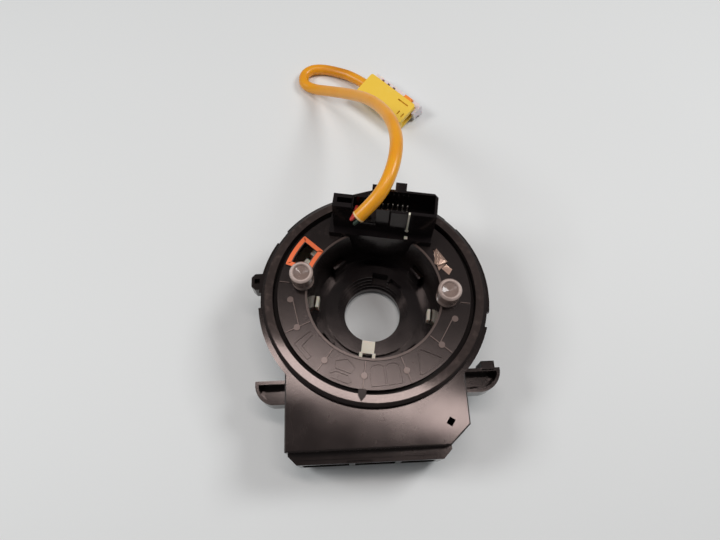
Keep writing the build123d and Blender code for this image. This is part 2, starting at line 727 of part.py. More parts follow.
def lug(outer_x, back_y, wall_x):
    """Quarter-round clip lug: a cup with a flat back and a curved front, open at its top."""
    side = 1 if outer_x > 0 else -1
    width = abs(outer_x - wall_x)

    def shell(inset):
        left = wall_x - side * 1.0
        right = outer_x - side * inset
        back = back_y - inset
        front = back_y - LUG_DEPTH + inset
        knee = outer_x - side * width * 0.52
        return make_face(
            [
                Line((left, back), (right, back)),
                Line((right, back), (right, back - 1.6)),
                ThreePointArc(
                    (right, back - 1.6),
                    (right - side * width * 0.14, back - (back - front) * 0.68),
                    (knee, front),
                ),
                Line((knee, front), (left, front)),
                Line((left, front), (left, back)),
            ]
        )

    height = LUG_Z[1] - LUG_Z[0]
    hollow = Pos(0, 0, LUG_FLOOR_T) * extrude(shell(LUG_WALL), height - LUG_FLOOR_T)
    return Pos(0, 0, LUG_Z[0]) * (extrude(shell(0.0), height) - hollow)


def stator_ring():
    """Round wall with its shoulder, and the floor under the cable."""
    body = ring(WALL_R, WALL_R - WALL_T, COVER_TOP_Z, STATOR_TOP_Z)
    body += ring(SHOULDER_R, WALL_R - WALL_T, STATOR_TOP_Z - SHOULDER_H, STATOR_TOP_Z)
    for start, end in SHOULDER_GAPS:
        body -= sector(WALL_R, SHOULDER_R + 1.0, start, end, STATOR_TOP_Z - SHOULDER_H, STATOR_TOP_Z)
    body += ring(WALL_R - 0.5, TUBE_R + 0.8, WEB_Z, WEB_TOP_Z)
    return body


def stator_box():
    outer = prism(box_outline(), COVER_TOP_Z, STATOR_TOP_Z)
    rim = [edge for edge in outer.edges().group_by(Axis.Z)[-1] if edge.center().Y < -40.0]
    outer = chamfer(rim, BOX_BEVEL)
    outer -= prism(box_outline(BOX_WALL_T), COVER_TOP_Z, STATOR_TOP_Z - BOX_TOP_T)
    outer += prism(nose_outline(), *NOSE_Z)
    ridge = NOSE_FRONT_Y + NOSE_RIDGE_SETBACK
    outer += slab(
        (NOSE_LEFT_X + 4.5, NOSE_RIGHT_X - 8.0),
        (ridge, ridge + NOSE_RIDGE_W),
        (NOSE_Z[1] - 0.5, NOSE_Z[1] + NOSE_RIDGE_H),
    )
    for span in SOCKET_SPANS:
        outer -= slab(span, (NOSE_FRONT_Y - 1.0, SOCKET_BACK_Y), SOCKET_Z)
    outer -= slab((-17.5, -5.0), (NOSE_FRONT_Y - 1.0, NOSE_FRONT_Y + 1.2), (NOSE_Z[1] - 1.5, NOSE_Z[1]))
    outer -= Pos(34.2, BOX_FRONT_Y + 11.0, STATOR_TOP_Z) * (Rot(0, 0, 57.0) * Box(3.7, 3.2, 12.0))
    outer -= rod(WALL_R - WALL_T, COVER_TOP_Z, STATOR_TOP_Z)
    return outer


def locating_ear():
    """Ear on the ring's left side, with rounded-off corners and a shallow slot in its top."""
    low, high = EAR_Y
    outline = [
        (-WALL_R + 3.0, low),
        (EAR_X + EAR_BEVEL, low),
        (EAR_X, low + EAR_BEVEL),
        (EAR_X, high - EAR_BEVEL),
        (EAR_X + EAR_BEVEL, high),
        (-WALL_R + 3.0, high),
    ]
    ear = prism(outline, *EAR_Z) - rod(WALL_R - WALL_T, *EAR_Z)
    return ear - slab((EAR_X + 1.6, EAR_X + 4.4), (low + 3.6, low + 6.4), (EAR_Z[1] - 4.0, EAR_Z[1]))


def stator_housing():
    body = stator_ring() + stator_box()
    body += lug(LEFT_LUG_X, LEFT_LUG_Y, BOX_LEFT_X)
    body += lug(RIGHT_LUG_X, RIGHT_LUG_Y, BOX_RIGHT_X)
    body += slab((54.5, 61.3), (RIGHT_LUG_Y - 1.0, RIGHT_LUG_Y + 3.3), (LUG_Z[0], LUG_Z[1] + 1.5))
    catch = (RIGHT_LUG_Y - 9.4, RIGHT_LUG_Y - 5.7)
    body += slab((BOX_RIGHT_X - 1.0, 52.4), catch, (LUG_Z[0], LUG_Z[1] - 1.5))
    body += locating_ear()
    body -= rod(OUTER_WINDING_R + WINDING_CLEAR, *CABLE_Z)
    body -= slab(
        (-12.0, 12.0),
        (-WALL_R - 1.0, -WALL_R + WALL_T + 4.0),
        (WEB_TOP_Z + 1.0, STATOR_TOP_Z - 3.4),
    )
    for span in SOCKET_SPANS:
        for pin in socket_pins(span):
            body -= pin
    body -= slab((-41.0, 31.0), (-WALL_R - 0.5, -45.0), (COVER_TOP_Z, BOARD_Z + BOARD_T + 4.0))
    body -= cable_block()
    body += screw_bosses()
    body += gear_pin(GEAR_A_ORBIT_R, GEAR_A_ANGLE)
    body += gear_pin(GEAR_B_ORBIT_R, GEAR_B_ANGLE)
    return body


def lower_cover():
    """Flat cover under the ring and the box."""
    body = rod(WALL_R, BASE_Z, COVER_TOP_Z)
    body += prism(box_outline(), BASE_Z, COVER_TOP_Z)
    body -= rod(HUB_FOOT_R + 0.8, BASE_Z, COVER_TOP_Z)
    for x, y in board_feet():
        body += rod(2.2, COVER_TOP_Z, BOARD_Z, (x, y))
    for x, y in screw_places():
        body -= rod(1.3, BASE_Z, COVER_TOP_Z, (x, y))
        body -= rod(2.9, BASE_Z, BASE_Z + 1.0, (x, y))
    return body


def board_feet():
    front = BOX_FRONT_Y + 13.8
    return [(-34.0, front), (28.0, front), (-8.0, front + 14.0)]


def screw_places():
    orbit = WALL_R - 6.4
    front = BOX_FRONT_Y + 7.8
    return [(-42.0, front), (38.0, front + 8.0), spot(orbit, 60.0), spot(orbit, 150.0)]


def cover_screws():
    """Self-tapping screws that hold the lower cover."""
    screws = []
    for x, y in screw_places():
        head = rod(2.7, BASE_Z + 0.1, BASE_Z + 1.0, (x, y))
        screws.append(head + rod(1.2, BASE_Z + 1.0, COVER_TOP_Z + 7.0, (x, y)))
    return Compound(screws)


def screw_bosses():
    """Posts that take the cover's screws, up to whatever lies above them."""
    bosses = []
    for x, y in screw_places():
        in_box = hypot(x, y) > WALL_R
        top = STATOR_TOP_Z - BOX_TOP_T + 0.5 if in_box else WEB_Z + 0.5
        post = rod(2.9, COVER_TOP_Z, top, (x, y))
        bosses.append(post - rod(1.25, COVER_TOP_Z, COVER_TOP_Z + 8.0, (x, y)))
    return bosses


def socket_pins(span):
    """Right-angle pins of one plug socket: out to the front, down to the board."""
    start, end = span
    count = int((end - start - 3.0) / 3.2) + 1
    first = (start + end) / 2 - (count - 1) * 1.6
    half = PIN_W / 2
    pins = []
    for index in range(count):
        x = first + index * 3.2
        for level, back in ((15.5, SOCKET_BACK_Y + 5.8), (20.5, SOCKET_BACK_Y + 8.4)):
            run = slab((x - half, x + half), (SOCKET_BACK_Y - PIN_REACH, back), (level - half, level + half))
            leg = slab((x - half, x + half), (back - PIN_W, back), (BOARD_Z, level + half))
            pins.append(run + leg)
    return pins


def stator_terminals():
    return Compound([pin for span in SOCKET_SPANS for pin in socket_pins(span)])


def sensor_board():
    """Board under the sensor gears, reaching forward to the plug pins."""
    plate = sector(36.5, 57.0, -146.0, -34.0, BOARD_Z, BOARD_Z + BOARD_T)
    plate += slab((-40.0, 30.0), (BOX_FRONT_Y + 5.8, -46.0), (BOARD_Z, BOARD_Z + BOARD_T))
    plate -= rod(36.5, BOARD_Z, BOARD_Z + BOARD_T)
    for x, y in screw_places():
        plate -= rod(3.4, BOARD_Z, BOARD_Z + BOARD_T, (x, y))
    for span in SOCKET_SPANS:
        for pin in socket_pins(span):
            plate -= pin
    return plate


def board_chips():
    top = BOARD_Z + BOARD_T
    front = BOX_FRONT_Y + 13.8
    chips = []
    for orbit, angle in ((GEAR_A_ORBIT_R, GEAR_A_ANGLE), (GEAR_B_ORBIT_R, GEAR_B_ANGLE)):
        place = polar(orbit, angle)
        chips.append(slab((place.X - 2.0, place.X + 2.0), (place.Y - 1.6, place.Y + 1.6), (top, top + 0.7)))
    chips.append(slab((-8.0, -1.0), (front, front + 7.0), (top, top + 1.2)))
    chips.append(slab((8.0, 13.0), (front, front + 4.0), (top, top + 1.6)))
    return Compound(chips)


# ---------------------------------------------------------------- flat cable and carrier
def carrier_posts():
    """Small posts near the inner winding, in pairs, one pair in sight of the window."""
    posts = []
    height = (WEB_TOP_Z + AXIAL_GAP, ROLLER_TOP_Z + 2.0)
    for station in range(6):
        for offset in (0.0, 9.0):
            angle = 139.2 + station * 60.0 + offset
            posts.append(sector(*CARRIER_POST_R, angle - 2.3, angle + 2.3, *height))
    return posts


def roller_carrier():
    foot = WEB_TOP_Z + AXIAL_GAP
    body = ring(CARRIER_R[1], CARRIER_R[0], foot, foot + CARRIER_T)
    body += carrier_posts()
    body += rod(ROLLER_PIN_R, foot, ROLLER_TOP_Z, spot(ROLLER_ORBIT_R, ROLLER_ANGLE))
    guard_r = CARRIER_R[1] - 4.0
    for step in (70.0, 140.0, 210.0, 280.0):
        middle = ROLLER_ANGLE + step
        body += sector(guard_r - CARRIER_GUARD_T, guard_r, middle - 20.0, middle + 20.0, foot, CABLE_Z[1])
    return body


def turn_roller():
    foot = WEB_TOP_Z + AXIAL_GAP + CARRIER_T + 0.2
    body = rod(ROLLER_R, foot, ROLLER_TOP_Z)
    body -= rod(ROLLER_PIN_R + ROLLER_CLEAR, foot, ROLLER_TOP_Z)
    return Pos(polar(ROLLER_ORBIT_R, ROLLER_ANGLE)) * body


def cable_turn():
    """Ribbon from the inner winding, round the roller and back to the outer winding."""
    low, high = CABLE_Z
    half = CABLE_T / 2
    reach = ROLLER_R + 0.4 + half
    inner_x = ROLLER_ORBIT_R - reach
    outer_x = ROLLER_ORBIT_R + reach
    inner_r = (INNER_WINDING[0] + INNER_WINDING[1]) / 2
    outer_r = (OUTER_WINDING[0] + OUTER_WINDING[1]) / 2
    lead_in = -28.0
    start = polar(inner_r, lead_in)
    knee_y = (inner_r - inner_x * cos(radians(lead_in))) / sin(radians(lead_in))
    run = hypot(inner_x - start.X, knee_y - start.Y)
    slope = degrees(atan2(knee_y - start.Y, inner_x - start.X))
    straight = Pos(start) * (Rot(0, 0, slope) * slab((0, run), (-half, half), (low, high)))
    bend = ring(reach + half, reach - half, low, high) & slab((-60, 60), (0, 60), (low, high))
    turn = Pos(ROLLER_ORBIT_R, 0, 0) * bend
    turn += slab((inner_x - half, inner_x + half), (knee_y - 0.2, 0.0), (low, high))
    end_y = -sqrt(outer_r**2 - outer_x**2)
    turn += slab((outer_x - half, outer_x + half), (end_y, 0.0), (low, high))
    return Rot(0, 0, ROLLER_ANGLE) * (turn + straight)


def flat_cable():
    """Two windings joined by the turn round the roller."""
    low, high = CABLE_Z
    body = ring(INNER_WINDING[1], INNER_WINDING[0], low, high)
    body += ring(OUTER_WINDING[1], OUTER_WINDING[0], low, high)
    return body + cable_turn()


def cable_block():
    """Moulded block that takes the outer end of the cable into the box."""
    x = (-11.5, 11.5)
    front = -WALL_R - 3.6
    body = slab(x, (front, front + 5.4), (WEB_TOP_Z + 1.2, CABLE_Z[1] + 0.6))
    body += slab(x, (front, front + 2.0), (BOARD_Z + BOARD_T + 1.9, WEB_TOP_Z + 2.0))
    return body


def cable_tail():
    """End of the inner winding, folded over in an opening of the disc."""
    fold = prism(tail_outline(), DISC_Z - 1.5, DISC_Z - 0.7)
    riser = sector(38.5, 39.1, 30.5, 35.5, CABLE_Z[1] + 0.4, DISC_Z - 1.5)
    return fold + riser


def tail_outline(grow=0.0):
    return [
        (29.3 - grow, 29.4 + grow),
        (36.7 + grow, 22.2),
        (33.2, 17.3 - grow),
        (31.6 - grow, 21.6 - grow),
    ]


# ---------------------------------------------------------------- airbag lead
def bend_radii(points):
    """Radius at each inner point, so that the arcs take up most of the shorter run."""
    radii = []
    for before, here, after in zip(points, points[1:], points[2:]):
        coming = Vector(*here) - Vector(*before)
        going = Vector(*after) - Vector(*here)
        half_turn = radians(coming.get_angle(going)) / 2
        radii.append(0.45 * min(coming.length, going.length) / tan(half_turn))
    return radii


def cord(points, radius):
    """Round cord: straight runs are cylinders and bends are parts of a torus."""
    path = FilletPolyline(*points, radius=bend_radii(points))
    pieces = []
    for edge in path.edges():
        section = Plane(edge @ 0, z_dir=edge % 0) * Circle(radius)
        if edge.geom_type == GeomType.LINE:
            pieces.append(extrude(section, edge.length, dir=edge % 0))
        else:
            turn = (edge % 0).get_angle(edge % 1)
            axis = Axis(edge.arc_center, (edge % 0).cross(edge % 1))
            pieces.append(revolve(section, axis, turn))
    return Part() + pieces


def lead_plug():
    """Small plug in the recess, where the two wires come out of the block."""
    top = POCKET_FLOOR_Z + LEAD_PLUG_H
    body = slab((BLOCK_LEFT_X + 1.0, CAVITY_LEFT_X - BLOCK_WALL - 0.2), (35.0, 41.4), (POCKET_FLOOR_Z, top))
    for x in (-12.6, -7.0):
        body -= slab((x - 1.2, x + 1.2), (34.0, 36.2), (POCKET_FLOOR_Z + 1.5, top + 0.2))
    return body


def squib_frame():
    return Plane(SLEEVE_ROUTE[-1], x_dir=SQUIB_X_DIR, z_dir=SQUIB_Z_DIR).location


def squib_body():
    """Housing of the airbag plug: flat box with latch slots and an open mouth at its end."""
    low, high = SQUIB_Y
    middle = Pos((SQUIB_X[0] + SQUIB_X[1]) / 2, (low + high) / 2, -SQUIB_T / 2)
    outline = RectangleRounded(SQUIB_X[1] - SQUIB_X[0], high - low, SQUIB_CORNER)
    body = middle * extrude(outline, SQUIB_T)
    body -= slab((MOUTH_X, SQUIB_X[1]), MOUTH_Y, MOUTH_Z)
    top = SQUIB_T / 2
    body -= slab((28.0, 36.8), (high - 4.2, high - 3.2), (top - 2.0, top))
    for x in (34.6, 38.2):
        body -= slab((x - 0.45, x + 0.45), (low + 4.0, low + 7.2), (top - 2.0, top))
    for contact in squib_contacts().solids():
        body -= contact
    return body


def squib_contacts():
    """Pair of flat pins in the plug's mouth."""
    level = (MOUTH_Z[0] + MOUTH_Z[1]) / 2
    pins = [
        slab((MOUTH_X - 8.0, SQUIB_X[1] - 3.0), (y - 0.5, y + 0.5), (level - 0.3, level + 0.3))
        for y in CONTACT_Y
    ]
    return Compound(pins)


def squib_cover():
    """Pale side cover with three windows, which turns round the plug's end."""
    inner = SQUIB_Y[1]
    side = (inner, inner + SQUIB_SIDE_W)
    height = (SQUIB_SIDE_FOOT, SQUIB_SIDE_TOP)
    end_x = SQUIB_X[1] + SQUIB_END_T
    body = slab((1.2, end_x), side, height)
    body += slab((SQUIB_X[1], end_x), (MOUTH_Y[1] - 2.0, side[1]), (SQUIB_END_FOOT, SQUIB_SIDE_TOP))
    for x in SQUIB_WINDOWS_X:
        body -= slab((x - 1.1, x + 1.1), (inner + 0.9, inner + 2.7), (SQUIB_SIDE_TOP - 4.0, SQUIB_SIDE_TOP))
    low, high = LOCK_X
    pocket = (inner, side[1] - 0.7)
    body -= slab((low - LOCK_GAP, high + LOCK_GAP), pocket, (-4.0, SQUIB_SIDE_TOP))
    return body


def squib_lock():
    """Lock tab: pushed home in use, drawn out along Z to free the plug."""
    inner = SQUIB_Y[1]
    width = (inner + LOCK_GAP, inner + SQUIB_SIDE_W - 0.7 - LOCK_GAP)
    body = slab(LOCK_X, width, (-4.0 + LOCK_GAP, SQUIB_SIDE_TOP + 2.0))
    return fillet(body.edges().filter_by(Axis.Y).group_by(Axis.Z)[-1], 1.5)


if __name__ == "__main__":
    os.makedirs("parts", exist_ok=True)
    save("rotor_cover", on_rotor(rotor_cover()))
    save("left_guide_bush", on_rotor(guide_bush(-1)))
    save("right_guide_bush", on_rotor(guide_bush(1)))
    save("connector_shell", on_rotor(connector_shell()))
    save("rotor_terminals", on_rotor(rotor_pins()))
    save("terminal_lock", on_rotor(terminal_lock()))
    save("rotor_hub", on_rotor(rotor_hub()))
    save("sensor_drive_gear", on_rotor(drive_gear()))
    save("sensor_gear_a", sensor_gear(GEAR_A_TEETH, GEAR_A_ORBIT_R, GEAR_A_ANGLE))
    save("sensor_gear_b", sensor_gear(GEAR_B_TEETH, GEAR_B_ORBIT_R, GEAR_B_ANGLE))
    save("magnet_a", magnet(GEAR_A_ORBIT_R, GEAR_A_ANGLE))
    save("magnet_b", magnet(GEAR_B_ORBIT_R, GEAR_B_ANGLE))
    save("stator_housing", stator_housing())
    save("lower_cover", lower_cover())
    save("cover_screws", cover_screws())
    save("stator_terminals", stator_terminals())
    save("sensor_board", sensor_board())
    save("board_chips", board_chips())
    save("roller_carrier", roller_carrier())
    save("turn_roller", turn_roller())
    save("flat_cable", flat_cable())
    save("cable_block", cable_block())
    save("cable_tail", on_rotor(cable_tail()))
    save("lead_plug", on_rotor(lead_plug()))
    save("lead_sleeve", cord(SLEEVE_ROUTE, SLEEVE_R))
    save("red_wire", cord(RED_WIRE_ROUTE, WIRE_R))
    save("dark_wire", cord(DARK_WIRE_ROUTE, WIRE_R))
    save("squib_body", squib_frame() * squib_body())
    save("squib_contacts", squib_frame() * squib_contacts())
    save("squib_cover", squib_frame() * squib_cover())
    save("squib_lock", squib_frame() * squib_lock())
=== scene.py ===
"""Looks of a steering clock spring: its finishes, small mouldings, airbag lead and studio."""

import logging
from collections.abc import Mapping, Sequence
from dataclasses import dataclass, field
from enum import Enum
from math import cos, degrees, pi, radians, sin

import bmesh
import bpy
from mathutils import Matrix, Vector


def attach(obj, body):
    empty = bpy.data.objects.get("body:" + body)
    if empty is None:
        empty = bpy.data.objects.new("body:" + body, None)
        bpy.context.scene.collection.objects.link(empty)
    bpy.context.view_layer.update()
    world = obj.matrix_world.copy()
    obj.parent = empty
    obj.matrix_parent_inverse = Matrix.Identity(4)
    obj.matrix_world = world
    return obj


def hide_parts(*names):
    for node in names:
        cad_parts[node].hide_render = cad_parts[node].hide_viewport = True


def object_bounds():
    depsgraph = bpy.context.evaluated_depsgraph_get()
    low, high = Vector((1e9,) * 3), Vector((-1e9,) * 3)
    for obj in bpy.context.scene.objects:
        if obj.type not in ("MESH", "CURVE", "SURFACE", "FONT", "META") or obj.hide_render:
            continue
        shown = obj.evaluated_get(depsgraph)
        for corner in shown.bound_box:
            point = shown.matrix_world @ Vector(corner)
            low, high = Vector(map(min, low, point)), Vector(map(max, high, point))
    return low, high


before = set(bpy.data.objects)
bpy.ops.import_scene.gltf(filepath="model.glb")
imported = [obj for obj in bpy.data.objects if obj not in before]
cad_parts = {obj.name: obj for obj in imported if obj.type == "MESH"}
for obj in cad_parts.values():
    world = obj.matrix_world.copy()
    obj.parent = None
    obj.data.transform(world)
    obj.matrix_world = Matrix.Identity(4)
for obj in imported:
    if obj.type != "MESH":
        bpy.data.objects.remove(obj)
CAD_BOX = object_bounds()

Colour = tuple[float, float, float]
Point = tuple[float, float, float]
Spot = tuple[float, float]

MM = 0.001
SHARP_EDGE = radians(32)
WARM = (1.0, 0.86, 0.83)
log = logging.getLogger("clock_spring")


class Body(Enum):
    """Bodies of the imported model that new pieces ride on."""

    STATOR = "stator"
    ROTOR = "rotor"


class Slot(Enum):
    """Material slots of the record, which new pieces carry; their finish is given on its own."""

    BLACK_GLOSS = "black_gloss"
    AMBER = "amber"
    SLEEVE = "sleeve"
    ORANGE = "orange"


# ------------------------------------------------------------------ shader maths
class Number:
    """A number socket whose Python arithmetic adds Math nodes."""

    def __init__(self, graph: "Graph", socket: bpy.types.NodeSocket) -> None:
        """Keep the socket with the graph that it belongs to."""
        self.graph = graph
        self.socket = socket

    def _math(self, operation: str, first: object, second: object = 0.0) -> "Number":
        """Add one Math node and return its result."""
        made = self.graph.node("ShaderNodeMath", {"operation": operation}, {0: first, 1: second})
        return Number(self.graph, made.outputs[0])

    def __add__(self, other: object) -> "Number":
        """Sum."""
        return self._math("ADD", self, other)

    def __radd__(self, other: object) -> "Number":
        """Sum with the number second."""
        return self._math("ADD", other, self)

    def __sub__(self, other: object) -> "Number":
        """Difference."""
        return self._math("SUBTRACT", self, other)

    def __rsub__(self, other: object) -> "Number":
        """Difference with the number second."""
        return self._math("SUBTRACT", other, self)

    def __mul__(self, other: object) -> "Number":
        """Product."""
        return self._math("MULTIPLY", self, other)

    def __rmul__(self, other: object) -> "Number":
        """Product with the number second."""
        return self._math("MULTIPLY", other, self)

    def __abs__(self) -> "Number":
        """Size without its sign."""
        return self._math("ABSOLUTE", self)

    def wave(self) -> "Number":
        """Sine."""
        return self._math("SINE", self)

    def step(self, low: float, high: float) -> "Number":
        """Rise smoothly from 0 at low to 1 at high, or fall where low is the larger.

        Args:
            low: Value that gives 0.
            high: Value that gives 1.

        Returns:
            The eased value.
        """
        settings = {"interpolation_type": "SMOOTHSTEP"}
        limits = {"Value": self, "From Min": low, "From Max": high}
        made = self.graph.node("ShaderNodeMapRange", settings, limits)
        return Number(self.graph, made.outputs["Result"])


class Graph:
    """Shader nodes of one finish."""

    def __init__(self, name: str) -> None:
        """Start an empty material that reads Object coordinates."""
        self.material = bpy.data.materials.new(name)
        self.material.use_nodes = True
        self.tree = self.material.node_tree
        self.tree.nodes.clear()
        self.place = self.node("ShaderNodeTexCoord").outputs["Object"]

    def node(
        self,
        kind: str,
        settings: Mapping[str, object] | None = None,
        sockets: Mapping[str | int, object] | None = None,
    ) -> bpy.types.Node:
        """Add a node.

        Args:
            kind: Type of the node.
            settings: Its own options, which are set first.
            sockets: Values or links of its inputs, by name or number.

        Returns:
            The node.
        """
        made = self.tree.nodes.new(kind)
        for option, value in (settings or {}).items():
            setattr(made, option, value)
        for key, value in (sockets or {}).items():
            self._feed(made.inputs[key], value)
        return made

    def _feed(self, target: bpy.types.NodeSocket, value: object) -> None:
        """Link a socket, or set its value."""
        if isinstance(value, Number):
            value = value.socket
        if isinstance(value, bpy.types.NodeSocket):
            self.tree.links.new(value, target)
        elif target.type == "RGBA":
            target.default_value = (*value[:3], 1.0)
        else:
            target.default_value = value

    def axis(self, name: str) -> Number:
        """One Object coordinate, in metres."""
        parts = self.node("ShaderNodeSeparateXYZ", sockets={"Vector": self.place})
        return Number(self, parts.outputs[name])

    def radius(self) -> Number:
        """Distance from the steering axis, in metres."""
        kind = "ShaderNodeVectorMath"
        flat = self.node(kind, {"operation": "MULTIPLY"}, {0: self.place, 1: (1.0, 1.0, 0.0)})
        length = self.node(kind, {"operation": "LENGTH"}, {0: flat.outputs[0]})
        return Number(self, length.outputs["Value"])

    def noise(self, size: float, detail: float = 2.0, stretch: Point = (1.0, 1.0, 1.0)) -> Number:
        """Soft random pattern.

        Args:
            size: Size of its patches in millimetres.
            detail: Octaves of finer noise in it.
            stretch: How much finer it is along each axis.

        Returns:
            A value about 0.5.
        """
        scaled = self.node("ShaderNodeMapping", sockets={"Vector": self.place, "Scale": stretch})
        sockets = {"Vector": scaled.outputs[0], "Scale": 1.0 / (size * MM), "Detail": detail}
        return Number(self, self.node("ShaderNodeTexNoise", sockets=sockets).outputs["Fac"])

    def scratches(self, size: float, thin: float, stretch: Point) -> Number:
        """Sparse hairlines, where a stretched noise crosses its middle value."""
        line = abs(self.noise(size, 3.0, stretch) - 0.5).step(thin, 0.0)
        return line * self.noise(size * 1.7, 1.0).step(0.52, 0.66)

    def blend(self, share: object, first: object, second: object) -> bpy.types.NodeSocket:
        """Mix two colours.

        Args:
            share: How much of the second colour shows.
            first: Colour or socket.
            second: Colour or socket.

        Returns:
            The mixed colour.
        """
        made = self.node("ShaderNodeMix", {"data_type": "RGBA"}, {0: share, 6: first, 7: second})
        return made.outputs[2]

    def bump(self, height: Number, depth: float) -> bpy.types.NodeSocket:
        """Turn a height between 0 and 1 into a relief of that depth in millimetres."""
        sockets = {"Height": height, "Distance": depth * MM, "Strength": 1.0}
        return self.node("ShaderNodeBump", sockets=sockets).outputs["Normal"]

    def surface(self, sockets: Mapping[str, object]) -> bpy.types.Material:
        """Finish with one Principled shader and return the material."""
        shader = self.node("ShaderNodeBsdfPrincipled", sockets=sockets)
        self.node("ShaderNodeOutputMaterial", sockets={"Surface": shader.outputs[0]})
        return self.material


# ------------------------------------------------------------------ finishes
@dataclass(frozen=True)
class Plastic:
    """Moulded plastic: mottled colour, fine grain, rubbed patches and hairline scratches."""

    name: str
    colour: Colour
    worn: Colour
    roughness: float = 0.35
    uneven: float = 0.2
    wear: float = 0.3
    grain: float = 0.02
    grain_size: float = 0.5
    coat: float = 0.0
    glow: float = 0.0
    sheen_tint: Colour = (1.0, 1.0, 1.0)

    def material(self) -> bpy.types.Material:
        """Build the nodes and return the material."""
        graph = Graph(self.name)
        patches = graph.noise(22.0, 3.0)
        dust = graph.noise(3.1, 4.0).step(0.45, 0.85)
        scratch = graph.scratches(16.0, 0.006, (1.0, 5.0, 2.0)) + graph.scratches(
            23.0, 0.005, (4.0, 1.0, 2.0)
        )
        rubbed = (patches.step(0.42, 0.78) * dust + scratch * 0.4) * self.wear
        grain = graph.noise(self.grain_size, 2.0)
        sockets: dict[str, object] = {
            "Base Color": graph.blend(rubbed, self.colour, self.worn),
            "Roughness": (patches - 0.5) * self.uneven + self.roughness,
            "Specular Tint": self.sheen_tint,
            "Normal": graph.bump(grain, self.grain),
        }
        if self.coat:
            sockets |= {"Coat Weight": self.coat, "Coat Roughness": 0.12}
        if self.glow:
            sockets |= {"Subsurface Weight": self.glow, "Subsurface Scale": 0.004}
        return graph.surface(sockets)


@dataclass(frozen=True)
class DiscPlastic:
    """Moulded disc: painted highlight on the tops of the raised marks and of the funnel's edge
    rib, painted shade on the marks' sides and on the groove floor, and the rim top painted paler
    as a sheen and rubbed paler with dust.
    """

    name: str
    colour: Colour
    # raised: painted highlight colour for the tops of the marks and of the edge rib, and a faint
    # painted sheen on the rim top.
    raised: Colour
    # deep: painted shade colour for the marks' sides and the groove floor; it also darkens the
    # pointer arrow.
    deep: Colour
    worn: Colour
    face: float = 42.8
    rim: float = 44.0
    groove: tuple[float, float] = (50.8, 53.5)
    mouth: float = 36.6
    mark_foot: tuple[float, float] = (0.02, 0.06)
    mark_top: tuple[float, float] = (0.40, 0.55)
    lip_top: tuple[float, float] = (0.60, 0.75)
    roughness: float = 0.22
    rim_gloss: float = 0.13
    sheen_tint: Colour = WARM

    def material(self) -> bpy.types.Material:
        """Build the nodes and return the material."""
        graph = Graph(self.name)
        height = graph.axis("Z")
        reach = graph.radius()

        def above(span: tuple[float, float], level: float) -> Number:
            """Mask that rises over a span of heights above a level."""
            return height.step((level + span[0]) * MM, (level + span[1]) * MM)

        inner, outer = self.groove
        inside = reach.step(outer * MM, inner * MM)
        bays = reach.step(self.mouth * MM, (self.mouth + 0.3) * MM)
        bays = bays * reach.step((inner + 0.1) * MM, (inner - 0.1) * MM)
        # Painted highlight: the tops of the raised marks in the bays.
        marks = above(self.mark_top, self.face) * bays
        # Painted highlight: the top of the edge rib round the funnel mouth.
        edge_rib_highlight = above(self.lip_top, self.face) * (1.0 - bays) * inside
        # Painted shade: the sides of the marks, from just above the face.
        foot = above(self.mark_foot, self.face) * bays
        # The rim top: a faint painted sheen everywhere, and paler again where rubbed with dust.
        rim = above((-0.5, -0.1), self.rim) * (1.0 - inside)
        arrow = above((0.1, 0.3), self.rim)
        rim = rim * (1.0 - arrow)
        # Painted shade: the groove floor below the face is darkened and roughened.
        painted_recess_shade = above((-0.2, -1.6), self.face)
        painted_recess_shade = painted_recess_shade * reach.step((inner - 0.4) * MM, inner * MM)
        patches = graph.noise(17.0, 3.0)
        dust = graph.noise(3.4, 4.0).step(0.45, 0.85)
        rubbed = patches.step(0.42, 0.78) * dust * 0.22 + rim * dust * 0.30
        # Painted shade on the marks' sides, then painted highlight and sheen, rubbed wear, and
        # painted shade in the groove with the darker pointer arrow.
        body = graph.blend(foot * 0.9, self.colour, self.deep)
        body = graph.blend(marks * 0.9 + edge_rib_highlight * 0.5 + rim * 0.16, body, self.raised)
        body = graph.blend(rubbed, body, self.worn)
        body = graph.blend((painted_recess_shade + arrow * 0.8).step(0.0, 1.0), body, self.deep)
        rough = self.roughness + (patches - 0.5) * 0.10 + painted_recess_shade * 0.5 + arrow * 0.25
        grain = graph.noise(0.9, 2.0)
        return graph.surface(
            {
                "Base Color": body,
                "Roughness": rough - rim * self.rim_gloss,
                "Specular Tint": self.sheen_tint,
                "Normal": graph.bump(grain, 0.004),
            }
        )


@dataclass(frozen=True)
class Frosted:
    """Soft translucent plastic that lets some light through, cloudy with darker patches, with
    painted shade darkening its dish.
    """

    name: str
    colour: Colour
    cloud_and_dish_shade: Colour
    top: float = 54.8
    dish: float = 2.3
    roughness: float = 0.24
    clear: float = 0.25
    refraction: float = 1.45
    coat: float = 0.5

    def material(self) -> bpy.types.Material:
        """Build the nodes and return the material."""
        graph = Graph(self.name)
        cloud = graph.noise(5.0, 3.0).step(0.30, 0.75)
        haze = graph.noise(0.6, 2.0)
        # Painted shade: the dish floor below the top is darkened towards the shade colour.
        painted_recess_shade = graph.axis("Z").step((self.top - 0.25) * MM, (self.top - self.dish * 0.6) * MM)
        body = graph.blend(cloud * 0.5, self.colour, self.cloud_and_dish_shade)
        return graph.surface(
            {
                "Base Color": graph.blend(painted_recess_shade * 0.85, body, self.cloud_and_dish_shade),
                "Roughness": self.roughness + (haze - 0.5) * 0.2,
                "Normal": graph.bump(haze, 0.03),
                "Transmission Weight": self.clear,
                "IOR": self.refraction,
                "Coat Weight": self.coat,
                "Coat Roughness": 0.08,
            }
        )


